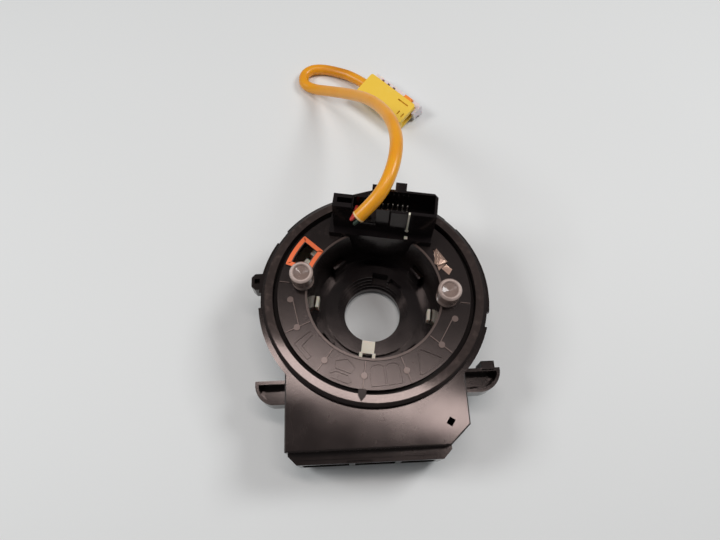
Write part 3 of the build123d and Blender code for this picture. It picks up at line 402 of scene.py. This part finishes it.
@dataclass(frozen=True)
class SoftSleeve:
    """Soft extruded sleeve, browner towards the plug and faintly marked along its length."""

    name: str
    colour: Colour
    shade: Colour
    deep: Colour
    brown_from: float
    brown_to: float

    def material(self) -> bpy.types.Material:
        """Build the nodes and return the material."""
        graph = Graph(self.name)
        cloud = graph.noise(14.0, 3.0).step(0.35, 0.75)
        far = graph.axis("Y").step(self.brown_from * MM, self.brown_to * MM)
        low = graph.axis("X").step(-0.030, -0.008)
        specks = graph.noise(1.1, 3.0).step(0.66, 0.8)
        body = graph.blend(cloud * 0.6, self.colour, self.shade)
        body = graph.blend(far * low * 0.75, body, self.deep)
        body = graph.blend(specks * 0.25, body, self.deep)
        skin = graph.noise(0.7, 2.0)
        return graph.surface(
            {
                "Base Color": body,
                "Roughness": 0.36 + (cloud - 0.5) * 0.14,
                "Normal": graph.bump(skin + cloud * 2.0, 0.04),
                "Subsurface Weight": 0.12,
                "Subsurface Scale": 0.002,
            }
        )


@dataclass(frozen=True)
class Metal:
    """Bright metal with fine brushing and darker handling marks."""

    name: str
    colour: Colour
    dull: Colour
    roughness: float = 0.28

    def material(self) -> bpy.types.Material:
        """Build the nodes and return the material."""
        graph = Graph(self.name)
        stain = graph.noise(2.4, 4.0).step(0.4, 0.8)
        brush = graph.noise(0.25, 2.0, (6.0, 1.0, 1.0))
        return graph.surface(
            {
                "Base Color": graph.blend(stain * 0.5, self.colour, self.dull),
                "Metallic": 1.0,
                "Roughness": self.roughness + stain * 0.2,
                "Normal": graph.bump(brush, 0.006),
            }
        )


@dataclass(frozen=True)
class Film:
    """Glossy ribbon film with narrow conductors that run round the axis."""

    name: str
    colour: Colour
    conductor: Colour
    pitch: float = 1.6
    shine: float = 0.2

    def material(self) -> bpy.types.Material:
        """Build the nodes and return the material."""
        graph = Graph(self.name)
        stripes = (graph.axis("Z") * (2.0 * pi / (self.pitch * MM))).wave().step(0.1, 0.35)
        cloud = graph.noise(6.0, 2.0)
        return graph.surface(
            {
                "Base Color": graph.blend(stripes * 0.8, self.colour, self.conductor),
                "Roughness": 0.18 + cloud * 0.16,
                "Metallic": stripes * 0.3 + self.shine,
                "Normal": graph.bump(stripes + cloud * 0.5, 0.05),
            }
        )


@dataclass(frozen=True)
class Laminate:
    """Circuit board: green lacquer over faint copper tracks."""

    name: str
    colour: Colour
    track: Colour

    def material(self) -> bpy.types.Material:
        """Build the nodes and return the material."""
        graph = Graph(self.name)
        along = (graph.axis("X") * (2.0 * pi / 0.0032)).wave().step(0.55, 0.7)
        across = (graph.axis("Y") * (2.0 * pi / 0.0041)).wave().step(0.6, 0.75)
        area = graph.noise(11.0, 1.0).step(0.46, 0.5)
        tracks = along * area + across * (1.0 - area)
        return graph.surface(
            {
                "Base Color": graph.blend(tracks * 0.55, self.colour, self.track),
                "Roughness": 0.3 + graph.noise(2.0) * 0.12,
                "Normal": graph.bump(tracks, 0.04),
            }
        )


@dataclass(frozen=True)
class Matt:
    """Even, softly mottled studio surface."""

    name: str
    colour: Colour
    shade: Colour

    def material(self) -> bpy.types.Material:
        """Build the nodes and return the material."""
        graph = Graph(self.name)
        cloud = graph.noise(180.0, 2.0)
        skin = graph.noise(2.6, 2.0)
        return graph.surface(
            {
                "Base Color": graph.blend(cloud, self.colour, self.shade),
                "Roughness": 0.62,
                "Normal": graph.bump(skin, 0.04),
            }
        )


BLACK_SATIN = Plastic(
    "black_satin", (0.0120, 0.0085, 0.0080), (0.110, 0.078, 0.070), roughness=0.13, uneven=0.16,
    wear=0.24, grain=0.003, grain_size=0.9, sheen_tint=WARM,
)
# Disc colours: body, painted highlight (raised), painted shade (deep, which also darkens the
# pointer arrow), rubbed wear.
BLACK_DISC = DiscPlastic(
    "black_disc", (0.0100, 0.0072, 0.0068), (0.150, 0.110, 0.098), (0.0020, 0.0017, 0.0017),
    (0.130, 0.095, 0.084),
)
# Pale finish that paints a highlight on raised black outlines: the bay reliefs and the index
# mark.
MARK_HIGHLIGHT = Plastic(
    "mark_painted_highlight", (0.200, 0.148, 0.132), (0.220, 0.163, 0.146), roughness=0.28, uneven=0.10,
    wear=0.3, grain=0.004, grain_size=0.9, sheen_tint=WARM,
)
BLACK_GRAINED = Plastic(
    "black_grained", (0.0110, 0.0085, 0.0085), (0.075, 0.060, 0.057), roughness=0.46, uneven=0.2,
    wear=0.25, grain=0.03, grain_size=0.45, sheen_tint=WARM,
)
BLACK_POLISHED = Plastic(
    "black_polished", (0.0065, 0.0050, 0.0055), (0.075, 0.058, 0.054), roughness=0.17,
    uneven=0.2, wear=0.2, grain=0.005, grain_size=1.2, sheen_tint=WARM,
)
IVORY = Plastic(
    "ivory_acetal", (0.80, 0.72, 0.60), (0.62, 0.50, 0.38), roughness=0.42, uneven=0.1,
    wear=0.35, grain=0.01, glow=0.15,
)
BUSH = Frosted("frosted_bush", (0.76, 0.61, 0.55), (0.22, 0.150, 0.125))
YELLOW = Plastic(
    "plug_yellow", (0.93, 0.62, 0.06), (0.98, 0.74, 0.16), roughness=0.38, uneven=0.12,
    wear=0.5, grain=0.02, grain_size=0.7,
)
PALE = Plastic(
    "plug_pale", (0.78, 0.70, 0.74), (0.60, 0.52, 0.56), roughness=0.36, uneven=0.1,
    wear=0.4, grain=0.015, glow=0.2,
)
LOCK_ORANGE = Plastic(
    "lock_orange", (0.90, 0.28, 0.03), (0.95, 0.42, 0.08), roughness=0.36, uneven=0.1,
    wear=0.3, grain=0.015,
)
FRAME_ORANGE = Plastic(
    "frame_orange", (0.92, 0.17, 0.045), (0.95, 0.30, 0.12), roughness=0.42, uneven=0.12,
    wear=0.25, grain=0.02,
)
SLEEVE = SoftSleeve(
    "orange_sleeve", (0.86, 0.37, 0.012), (0.78, 0.29, 0.008), (0.50, 0.15, 0.006), 176.0, 188.0
)
SLEEVE_EDGE = Plastic(
    "sleeve_cut_edge", (0.90, 0.62, 0.30), (0.70, 0.42, 0.15), roughness=0.55, grain=0.03
)
WIRE_RED = Plastic(
    "wire_red", (0.60, 0.055, 0.045), (0.70, 0.14, 0.10), roughness=0.38, grain=0.01
)
WIRE_DARK = Plastic(
    "wire_dark", (0.022, 0.045, 0.030), (0.06, 0.09, 0.06), roughness=0.38, grain=0.01
)
CHIP = Plastic("chip_package", (0.020, 0.020, 0.021), (0.07, 0.07, 0.07), roughness=0.5)
RIBBON = Film("ribbon_film", (0.62, 0.36, 0.20), (0.72, 0.42, 0.24))
TAIL_FILM = Film("tail_film", (0.50, 0.33, 0.26), (0.86, 0.62, 0.50), pitch=0.9, shine=0.6)
TINNED = Metal("tinned_pin", (0.86, 0.83, 0.78), (0.55, 0.52, 0.47))
ZINC = Metal("zinc_steel", (0.62, 0.62, 0.60), (0.38, 0.37, 0.35), roughness=0.34)
BOARD = Laminate("sensor_board_lacquer", (0.020, 0.13, 0.060), (0.12, 0.30, 0.14))
TABLE = Matt("pale_table", (0.80, 0.82, 0.82), (0.78, 0.80, 0.80))


class Palette:
    """Builds each finish once and gives it to nodes and pieces."""

    def __init__(self) -> None:
        """Start with nothing built."""
        self._built: dict[str, bpy.types.Material] = {}

    def get(self, finish: object) -> bpy.types.Material:
        """Material of a finish."""
        if finish.name not in self._built:
            self._built[finish.name] = finish.material()
        return self._built[finish.name]

    def dress(self, finish: object, *nodes: str) -> None:
        """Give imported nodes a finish.

        Args:
            finish: The finish that they get.
            nodes: Names of the nodes.
        """
        for name in nodes:
            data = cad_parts[name].data
            if not data.materials:
                data.materials.append(None)
            for number in range(len(data.materials)):
                data.materials[number] = self.get(finish)
            log.info("node %s dressed in %s", name, finish.name)


PALETTE = Palette()


# ------------------------------------------------------------------ pieces
ROTOR_TURN = Matrix.Rotation(radians(-9.5), 4, "Z")
MILLIMETRES = Matrix.Scale(MM, 4)


@dataclass
class Piece:
    """A mesh in millimetres on its way to being a named object on a body."""

    name: str
    body: Body
    slot: Slot
    mesh: bmesh.types.BMesh = field(default_factory=bmesh.new)

    def band(self, points: Sequence[Spot], width: float, low: float, high: float) -> None:
        """Add a raised outline: a flat face, inset to a band and drawn up.

        Args:
            points: Corners of the outline, anticlockwise.
            width: Width of the band.
            low: Height of its foot.
            high: Height of its top.
        """
        corners = [self.mesh.verts.new((x, y, low)) for x, y in points]
        face = self.mesh.faces.new(corners)
        rim = bmesh.ops.inset_region(
            self.mesh, faces=[face], thickness=width, use_even_offset=True, use_boundary=True
        )["faces"]
        bmesh.ops.delete(self.mesh, geom=[face], context="FACES")
        self.draw_up(rim, high - low)

    def plate(self, points: Sequence[Point], thickness: float) -> None:
        """Add a flat or sloping plate whose top face has these corners."""
        face = self.mesh.faces.new([self.mesh.verts.new(p) for p in points])
        face.normal_update()
        grown = bmesh.ops.extrude_face_region(self.mesh, geom=[face])["geom"]
        moved = [part for part in grown if isinstance(part, bmesh.types.BMVert)]
        bmesh.ops.translate(self.mesh, verts=moved, vec=(0.0, 0.0, -thickness))

    def draw_up(self, faces: Sequence[bmesh.types.BMFace], height: float) -> None:
        """Extrude flat faces upwards."""
        grown = bmesh.ops.extrude_face_region(self.mesh, geom=list(faces))["geom"]
        moved = [part for part in grown if isinstance(part, bmesh.types.BMVert)]
        bmesh.ops.translate(self.mesh, verts=moved, vec=(0.0, 0.0, height))

    def soften(self, size: float, above: float = -1e9) -> None:
        """Bevel the sharp edges that lie above a height."""
        self.mesh.normal_update()
        edges = [
            edge
            for edge in self.mesh.edges
            if len(edge.link_faces) == 2
            and edge.calc_face_angle(0.0) > SHARP_EDGE
            and min(vert.co.z for vert in edge.verts) > above
        ]
        bmesh.ops.bevel(
            self.mesh, geom=edges, offset=size, segments=2, profile=0.5, affect="EDGES",
            material=-1, clamp_overlap=True,
        )

    def round_corners(self, radius: float) -> None:
        """Round the sharp edges that stand upright."""
        self.mesh.normal_update()
        upright = [
            edge
            for edge in self.mesh.edges
            if len(edge.link_faces) == 2
            and edge.calc_face_angle(0.0) > SHARP_EDGE
            and abs(edge.verts[0].co.z - edge.verts[1].co.z) > 0.01
        ]
        bmesh.ops.bevel(
            self.mesh, geom=upright, offset=radius, segments=4, profile=0.5, affect="EDGES",
            material=-1, clamp_overlap=True,
        )

    def finish(self, look: object, place: Matrix | None = None) -> bpy.types.Object:
        """Turn the mesh into an object that rides on its body.

        Args:
            look: The finish that it gets.
            place: Where it goes, in millimetres.

        Returns:
            The object.
        """
        bmesh.ops.transform(
            self.mesh, matrix=MILLIMETRES @ (place or Matrix.Identity(4)), verts=self.mesh.verts
        )
        bmesh.ops.recalc_face_normals(self.mesh, faces=self.mesh.faces)
        data = bpy.data.meshes.new(self.name)
        self.mesh.to_mesh(data)
        self.mesh.free()
        data.shade_smooth()
        data.set_sharp_from_angle(angle=SHARP_EDGE)
        data.materials.append(PALETTE.get(look))
        made = bpy.data.objects.new(self.name, data)
        bpy.context.scene.collection.objects.link(made)
        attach(made, self.body.value)
        log.info("piece %s on %s", self.name, self.body.value)
        return made


def spot(radius: float, angle: float) -> Spot:
    """Place on a circle about the axis, the angle in degrees."""
    return radius * cos(radians(angle)), radius * sin(radians(angle))


# ------------------------------------------------------------------ studio
@dataclass
class Camera:
    """Camera that looks steeply down at the front of the disc."""

    place: Point = (-13.28, -98.44, 310.63)
    tilt: float = 22.7
    heading: float = -3.3
    roll: float = 0.8
    lens: float = 27.05

    def build(self) -> None:
        """Make the camera and set it as the scene's own."""
        data = bpy.data.cameras.new("camera")
        data.lens = self.lens
        data.sensor_width = 36.0
        data.clip_start = 0.01
        made = bpy.data.objects.new("camera", data)
        bpy.context.scene.collection.objects.link(made)
        turn = (
            Matrix.Rotation(radians(self.heading), 4, "Z")
            @ Matrix.Rotation(radians(self.tilt), 4, "X")
            @ Matrix.Rotation(radians(self.roll), 4, "Z")
        )
        made.matrix_world = Matrix.Translation(Vector(self.place) * MM) @ turn
        bpy.context.scene.camera = made


@dataclass(frozen=True)
class SoftBox:
    """Rectangular lamp that points at the object."""

    name: str
    place: Point
    width: float
    depth: float
    power: float
    colour: Colour = (1.0, 1.0, 1.0)
    aim: Point = (0.0, 0.02, 0.03)

    def build(self) -> None:
        """Make the lamp."""
        data = bpy.data.lights.new(self.name, "AREA")
        data.shape = "RECTANGLE"
        data.size = self.width
        data.size_y = self.depth
        data.energy = self.power
        data.color = self.colour
        made = bpy.data.objects.new(self.name, data)
        bpy.context.scene.collection.objects.link(made)
        ray = Vector(self.aim) - Vector(self.place)
        made.rotation_euler = ray.to_track_quat("-Z", "Y").to_euler()
        made.location = self.place


@dataclass
class Studio:
    """Pale table, even surroundings and soft lamps."""

    table_size: float = 8.0
    ambient: float = 0.17
    lamps: tuple[SoftBox, ...] = (
        SoftBox("overhead_box", (0.03, 0.110, 0.95), 0.56, 0.080, 1.9, (1.0, 0.91, 0.88)),
        SoftBox("right_box", (0.70, 0.30, 0.85), 0.36, 0.36, 4.6),
        SoftBox("left_box", (-0.78, 0.10, 0.80), 0.36, 0.36, 4.4),
    )

    def build(self) -> None:
        """Make the table, the world and the lamps."""
        scene = bpy.context.scene
        scene.view_settings.view_transform = "Standard"
        world = bpy.data.worlds.new("surroundings")
        world.use_nodes = True
        backdrop = world.node_tree.nodes["Background"]
        backdrop.inputs["Color"].default_value = (0.97, 0.98, 1.0, 1.0)
        backdrop.inputs["Strength"].default_value = self.ambient
        scene.world = world
        mesh = bmesh.new()
        bmesh.ops.create_grid(mesh, x_segments=1, y_segments=1, size=self.table_size / 2)
        bmesh.ops.translate(mesh, verts=mesh.verts, vec=(0.0, 0.0, CAD_BOX[0].z))
        data = bpy.data.meshes.new("table")
        mesh.to_mesh(data)
        mesh.free()
        data.materials.append(PALETTE.get(TABLE))
        table = bpy.data.objects.new("table", data)
        scene.collection.objects.link(table)
        for lamp in self.lamps:
            lamp.build()


# ------------------------------------------------------------------ airbag lead
LEAD_ROUTE: tuple[Point, ...] = (
    (-0.0072, 0.0309, 0.0700),
    (-0.0013, 0.0343, 0.0746),
    (0.0051, 0.0401, 0.0786),
    (0.0100, 0.0491, 0.0810),
    (0.0135, 0.0611, 0.0805),
    (0.0151, 0.0771, 0.0755),
    (0.0128, 0.0980, 0.0650),
    (0.0042, 0.1239, 0.0475),
    (-0.0088, 0.1443, 0.0290),
    (-0.0228, 0.1614, 0.0125),
    (-0.0324, 0.1702, 0.0044),
    (-0.0398, 0.1762, 0.0029),
    (-0.0398, 0.1844, 0.0029),
    (-0.0344, 0.1896, 0.0029),
    (-0.0254, 0.1898, 0.0029),
    (-0.0149, 0.1860, 0.0035),
    (-0.0046, 0.1803, 0.0050),
    (0.0047, 0.1709, 0.0066),
)


@dataclass
class AirbagLead:
    """Orange sleeve over two wires, from the connector block to its plug on the table."""

    route: tuple[Point, ...] = LEAD_ROUTE
    diameter: float = 0.007
    length: float = 0.2528

    def build(self) -> None:
        """Make the sleeve as one smooth spline, and the rim of its open end."""
        data = bpy.data.curves.new("airbag_sleeve", "CURVE")
        data.dimensions = "3D"
        data.resolution_u = 10
        data.bevel_depth = self.diameter / 2
        data.bevel_resolution = 7
        data.use_fill_caps = True
        spline = data.splines.new("NURBS")
        spline.points.add(len(self.route) - 1)
        for point, place in zip(spline.points, self.route):
            point.co = (*place, 1.0)
        spline.order_u = 3
        spline.use_endpoint_u = True
        data.materials.append(PALETTE.get(SLEEVE))
        sleeve = bpy.data.objects.new("airbag_sleeve", data)
        bpy.context.scene.collection.objects.link(sleeve)
        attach(sleeve, Body.ROTOR.value)
        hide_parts("lead_sleeve")
        rim = self._open_end()
        log.info("piece airbag_sleeve on rotor")

    def _open_end(self) -> bpy.types.Object:
        """Pale cut rim at the sleeve's lower end, closed flat across its bore."""
        outer = self.diameter / 2 / MM
        piece = Piece("sleeve_open_end", Body.ROTOR, Slot.SLEEVE)
        profile = [
            (outer * 0.72, 0.0), (outer * 0.98, 0.0), (outer * 1.01, 0.35), (outer * 1.01, 0.9),
        ]
        chain = [piece.mesh.verts.new((radius, 0.0, height)) for radius, height in profile]
        edges = [piece.mesh.edges.new(pair) for pair in zip(chain, chain[1:])]
        bmesh.ops.spin(
            piece.mesh, geom=[*chain, *edges], cent=(0, 0, 0), axis=(0, 0, 1), angle=2 * pi,
            steps=32, use_merge=True,
        )
        loops = [edge for edge in piece.mesh.edges if edge.is_boundary]
        bmesh.ops.holes_fill(piece.mesh, edges=loops, sides=64)
        start, second = (Vector(place) for place in self.route[:2])
        heading = (second - start).to_track_quat("Z", "Y").to_matrix().to_4x4()
        shift = Matrix.Translation((start - (second - start).normalized() * 0.00012) / MM)
        return piece.finish(SLEEVE_EDGE, shift @ heading)

    def dress(self) -> None:
        """Give the wires and the plug their finishes."""
        PALETTE.dress(WIRE_RED, "red_wire")
        PALETTE.dress(WIRE_DARK, "dark_wire")
        PALETTE.dress(YELLOW, "squib_body")
        PALETTE.dress(PALE, "squib_cover")
        PALETTE.dress(LOCK_ORANGE, "squib_lock")
        PALETTE.dress(TINNED, "squib_contacts")


# ------------------------------------------------------------------ rotor
@dataclass
class RotorDisc:
    """Top disc with its painted window frame, plain reliefs and ribbon fold."""

    face: float = 42.8
    window: tuple[float, float, float, float] = (35.9, 50.0, 146.0, 168.2)
    frame_width: float = 2.3
    frame_top: float = 43.95
    relief_radius: float = 44.3
    relief_line: float = 0.62
    relief_height: float = 0.6
    ribbon_thickness: float = 0.2

    def build(self) -> None:
        """Make the pieces that the disc carries."""
        self._window_frame()
        self._reliefs()
        self._ribbon_fold()

    def _window_frame(self) -> None:
        """Orange frame round the inspection window, cut off beside the left bush."""
        inner, outer, start, end = self.window
        piece = Piece("window_frame", Body.ROTOR, Slot.ORANGE)
        ends = [piece.mesh.verts.new((*spot(radius, start), 0.0)) for radius in (inner, outer)]
        edge = piece.mesh.edges.new(ends)
        bmesh.ops.spin(
            piece.mesh, geom=[*ends, edge], cent=(0, 0, 0), axis=(0, 0, 1),
            angle=radians(end - start), steps=16,
        )
        whole = list(piece.mesh.faces)
        rim = bmesh.ops.inset_region(
            piece.mesh, faces=whole, thickness=self.frame_width, use_even_offset=True,
            use_boundary=True,
        )["faces"]
        bmesh.ops.delete(piece.mesh, geom=whole, context="FACES")
        piece.draw_up(rim, 0.5)
        piece.round_corners(0.9)
        bush = Vector((-38.3, 2.4, 0.0))
        away = (Vector((*spot(43.0, 157.0), 0.0)) - bush).normalized()
        parts = [*piece.mesh.verts, *piece.mesh.edges, *piece.mesh.faces]
        cut = bmesh.ops.bisect_plane(
            piece.mesh, geom=parts, plane_co=bush + away * 6.35, plane_no=-away, clear_outer=True
        )["geom_cut"]
        open_edges = [part for part in cut if isinstance(part, bmesh.types.BMEdge)]
        bmesh.ops.holes_fill(piece.mesh, edges=open_edges, sides=8)
        place = ROTOR_TURN @ Matrix.Translation((0.0, 0.0, self.frame_top - 0.5))
        piece.finish(FRAME_ORANGE, place)

    def _reliefs(self) -> None:
        """Plain raised outlines in the bays between the spokes, in a pale finish that paints
        their highlight.
        """
        page = ((0.5, -4.6), (7.8, -4.4), (7.5, 4.6), (5.6, 6.0), (2.8, 6.2), (0.5, 5.0))
        mirrored = tuple((-x, y) for x, y in reversed(page))
        bays: dict[float, tuple[Sequence[Spot], ...]] = {
            -76.0: (page, mirrored),
            -47.0: (
                ((-6.2, -4.8), (6.2, -4.8), (6.9, -3.7), (0.9, 5.9), (-0.9, 5.9), (-6.9, -3.7)),
            ),
            -104.0: (
                ((-4.2, 0.0), (4.2, 0.0), (5.2, 3.6), (0.0, 6.2), (-5.2, 3.6)),
                ((-4.6, -5.2), (4.6, -5.2), (6.0, -3.6), (3.2, -1.4), (-3.2, -1.4), (-6.0, -3.6)),
            ),
            -133.0: (
                ((-5.2, -4.6), (5.6, -4.6), (5.6, -2.2), (-1.8, -2.2), (-2.8, 5.4), (-5.2, 5.4)),
            ),
        }
        for number, (angle, outlines) in enumerate(bays.items(), start=1):
            piece = Piece(f"bay_relief_{number}", Body.ROTOR, Slot.BLACK_GLOSS)
            for outline in outlines:
                piece.band(outline, self.relief_line, 0.0, self.relief_height)
            piece.soften(0.16, above=0.1)
            turn = Matrix.Rotation(radians(angle + 90.0), 4, "Z")
            spoke = Matrix.Translation((*spot(self.relief_radius, angle), self.face - 0.02))
            piece.finish(MARK_HIGHLIGHT, ROTOR_TURN @ spoke @ turn)

    def _ribbon_fold(self) -> None:
        """Copper coloured ribbon that folds over the funnel's edge beside the block."""
        top = self.face + 0.25
        inner, left = (28.6, 22.0, top - 1.2), (32.2, 19.6, top + 0.7)
        outer, back, crest = (37.4, 22.6, top), (30.8, 29.8, top), (33.2, 23.4, top + 1.2)
        flap = [(34.4, 18.4, top), (38.6, 15.0, top), (40.2, 18.4, top), (36.8, 20.6, top + 0.6)]
        piece = Piece("ribbon_fold", Body.ROTOR, Slot.AMBER)
        for corners in (
            [inner, left, crest], [left, outer, crest], [crest, outer, back],
            [inner, crest, back], flap,
        ):
            piece.plate(corners, self.ribbon_thickness)
        piece.finish(TAIL_FILM, ROTOR_TURN)

    def dress(self) -> None:
        """Give the disc, the bushes and the hub their finishes."""
        PALETTE.dress(BLACK_DISC, "rotor_cover")
        PALETTE.dress(BUSH, "left_guide_bush", "right_guide_bush")
        PALETTE.dress(BLACK_POLISHED, "rotor_hub")
        PALETTE.dress(IVORY, "sensor_drive_gear")


@dataclass
class ConnectorBlock:
    """Upright block with the pocket of the airbag lead and the cavity of the wheel's plug."""

    def dress(self) -> None:
        """Give the block and what is in it their finishes."""
        PALETTE.dress(BLACK_POLISHED, "connector_shell")
        PALETTE.dress(TINNED, "rotor_terminals")
        PALETTE.dress(IVORY, "terminal_lock")
        PALETTE.dress(BLACK_GRAINED, "lead_plug")
        PALETTE.dress(TAIL_FILM, "cable_tail")


# ------------------------------------------------------------------ stator
@dataclass
class StatorHousing:
    """Fixed housing with its plug sockets and the index mark on its top plate."""

    plate: float = 38.4
    mark: Spot = (0.5, -63.3)

    def build(self) -> None:
        """Make the index mark, in the pale finish that paints its highlight."""
        piece = Piece("index_mark", Body.STATOR, Slot.BLACK_GLOSS)
        piece.band(((-2.0, -1.6), (2.0, -1.6), (0.0, 2.0)), 0.5, 0.0, 0.4)
        piece.soften(0.12, above=0.1)
        piece.finish(MARK_HIGHLIGHT, Matrix.Translation((*self.mark, self.plate - 0.02)))

    def dress(self) -> None:
        """Give the housing and its covers their finishes."""
        PALETTE.dress(BLACK_SATIN, "stator_housing")
        PALETTE.dress(BLACK_GRAINED, "lower_cover", "cable_block")
        PALETTE.dress(ZINC, "cover_screws")
        PALETTE.dress(TINNED, "stator_terminals")


@dataclass
class AngleSensor:
    """Board, chips and the two small gears with their magnets."""

    def dress(self) -> None:
        """Give the sensor its finishes."""
        PALETTE.dress(BOARD, "sensor_board")
        PALETTE.dress(CHIP, "board_chips")
        PALETTE.dress(IVORY, "sensor_gear_a", "sensor_gear_b")
        PALETTE.dress(ZINC, "magnet_a", "magnet_b")


@dataclass
class RibbonCable:
    """Wound ribbon, the carrier that its turn runs in, and the roller."""

    def dress(self) -> None:
        """Give the ribbon, the carrier and the roller their finishes."""
        PALETTE.dress(RIBBON, "flat_cable")
        PALETTE.dress(IVORY, "roller_carrier", "turn_roller")


def main() -> None:
    """Build and dress every sub-assembly in order."""
    logging.basicConfig(level=logging.INFO, format="%(name)s: %(message)s")
    Camera().build()
    lead = AirbagLead()
    lead.build()
    lead.dress()
    disc = RotorDisc()
    disc.build()
    disc.dress()
    ConnectorBlock().dress()
    housing = StatorHousing()
    housing.build()
    housing.dress()
    AngleSensor().dress()
    RibbonCable().dress()
    Studio().build()
    log.info("main turn %.1f degrees at rest", degrees(ROTOR_TURN.to_euler().z))


if __name__ == "__main__":
    main()
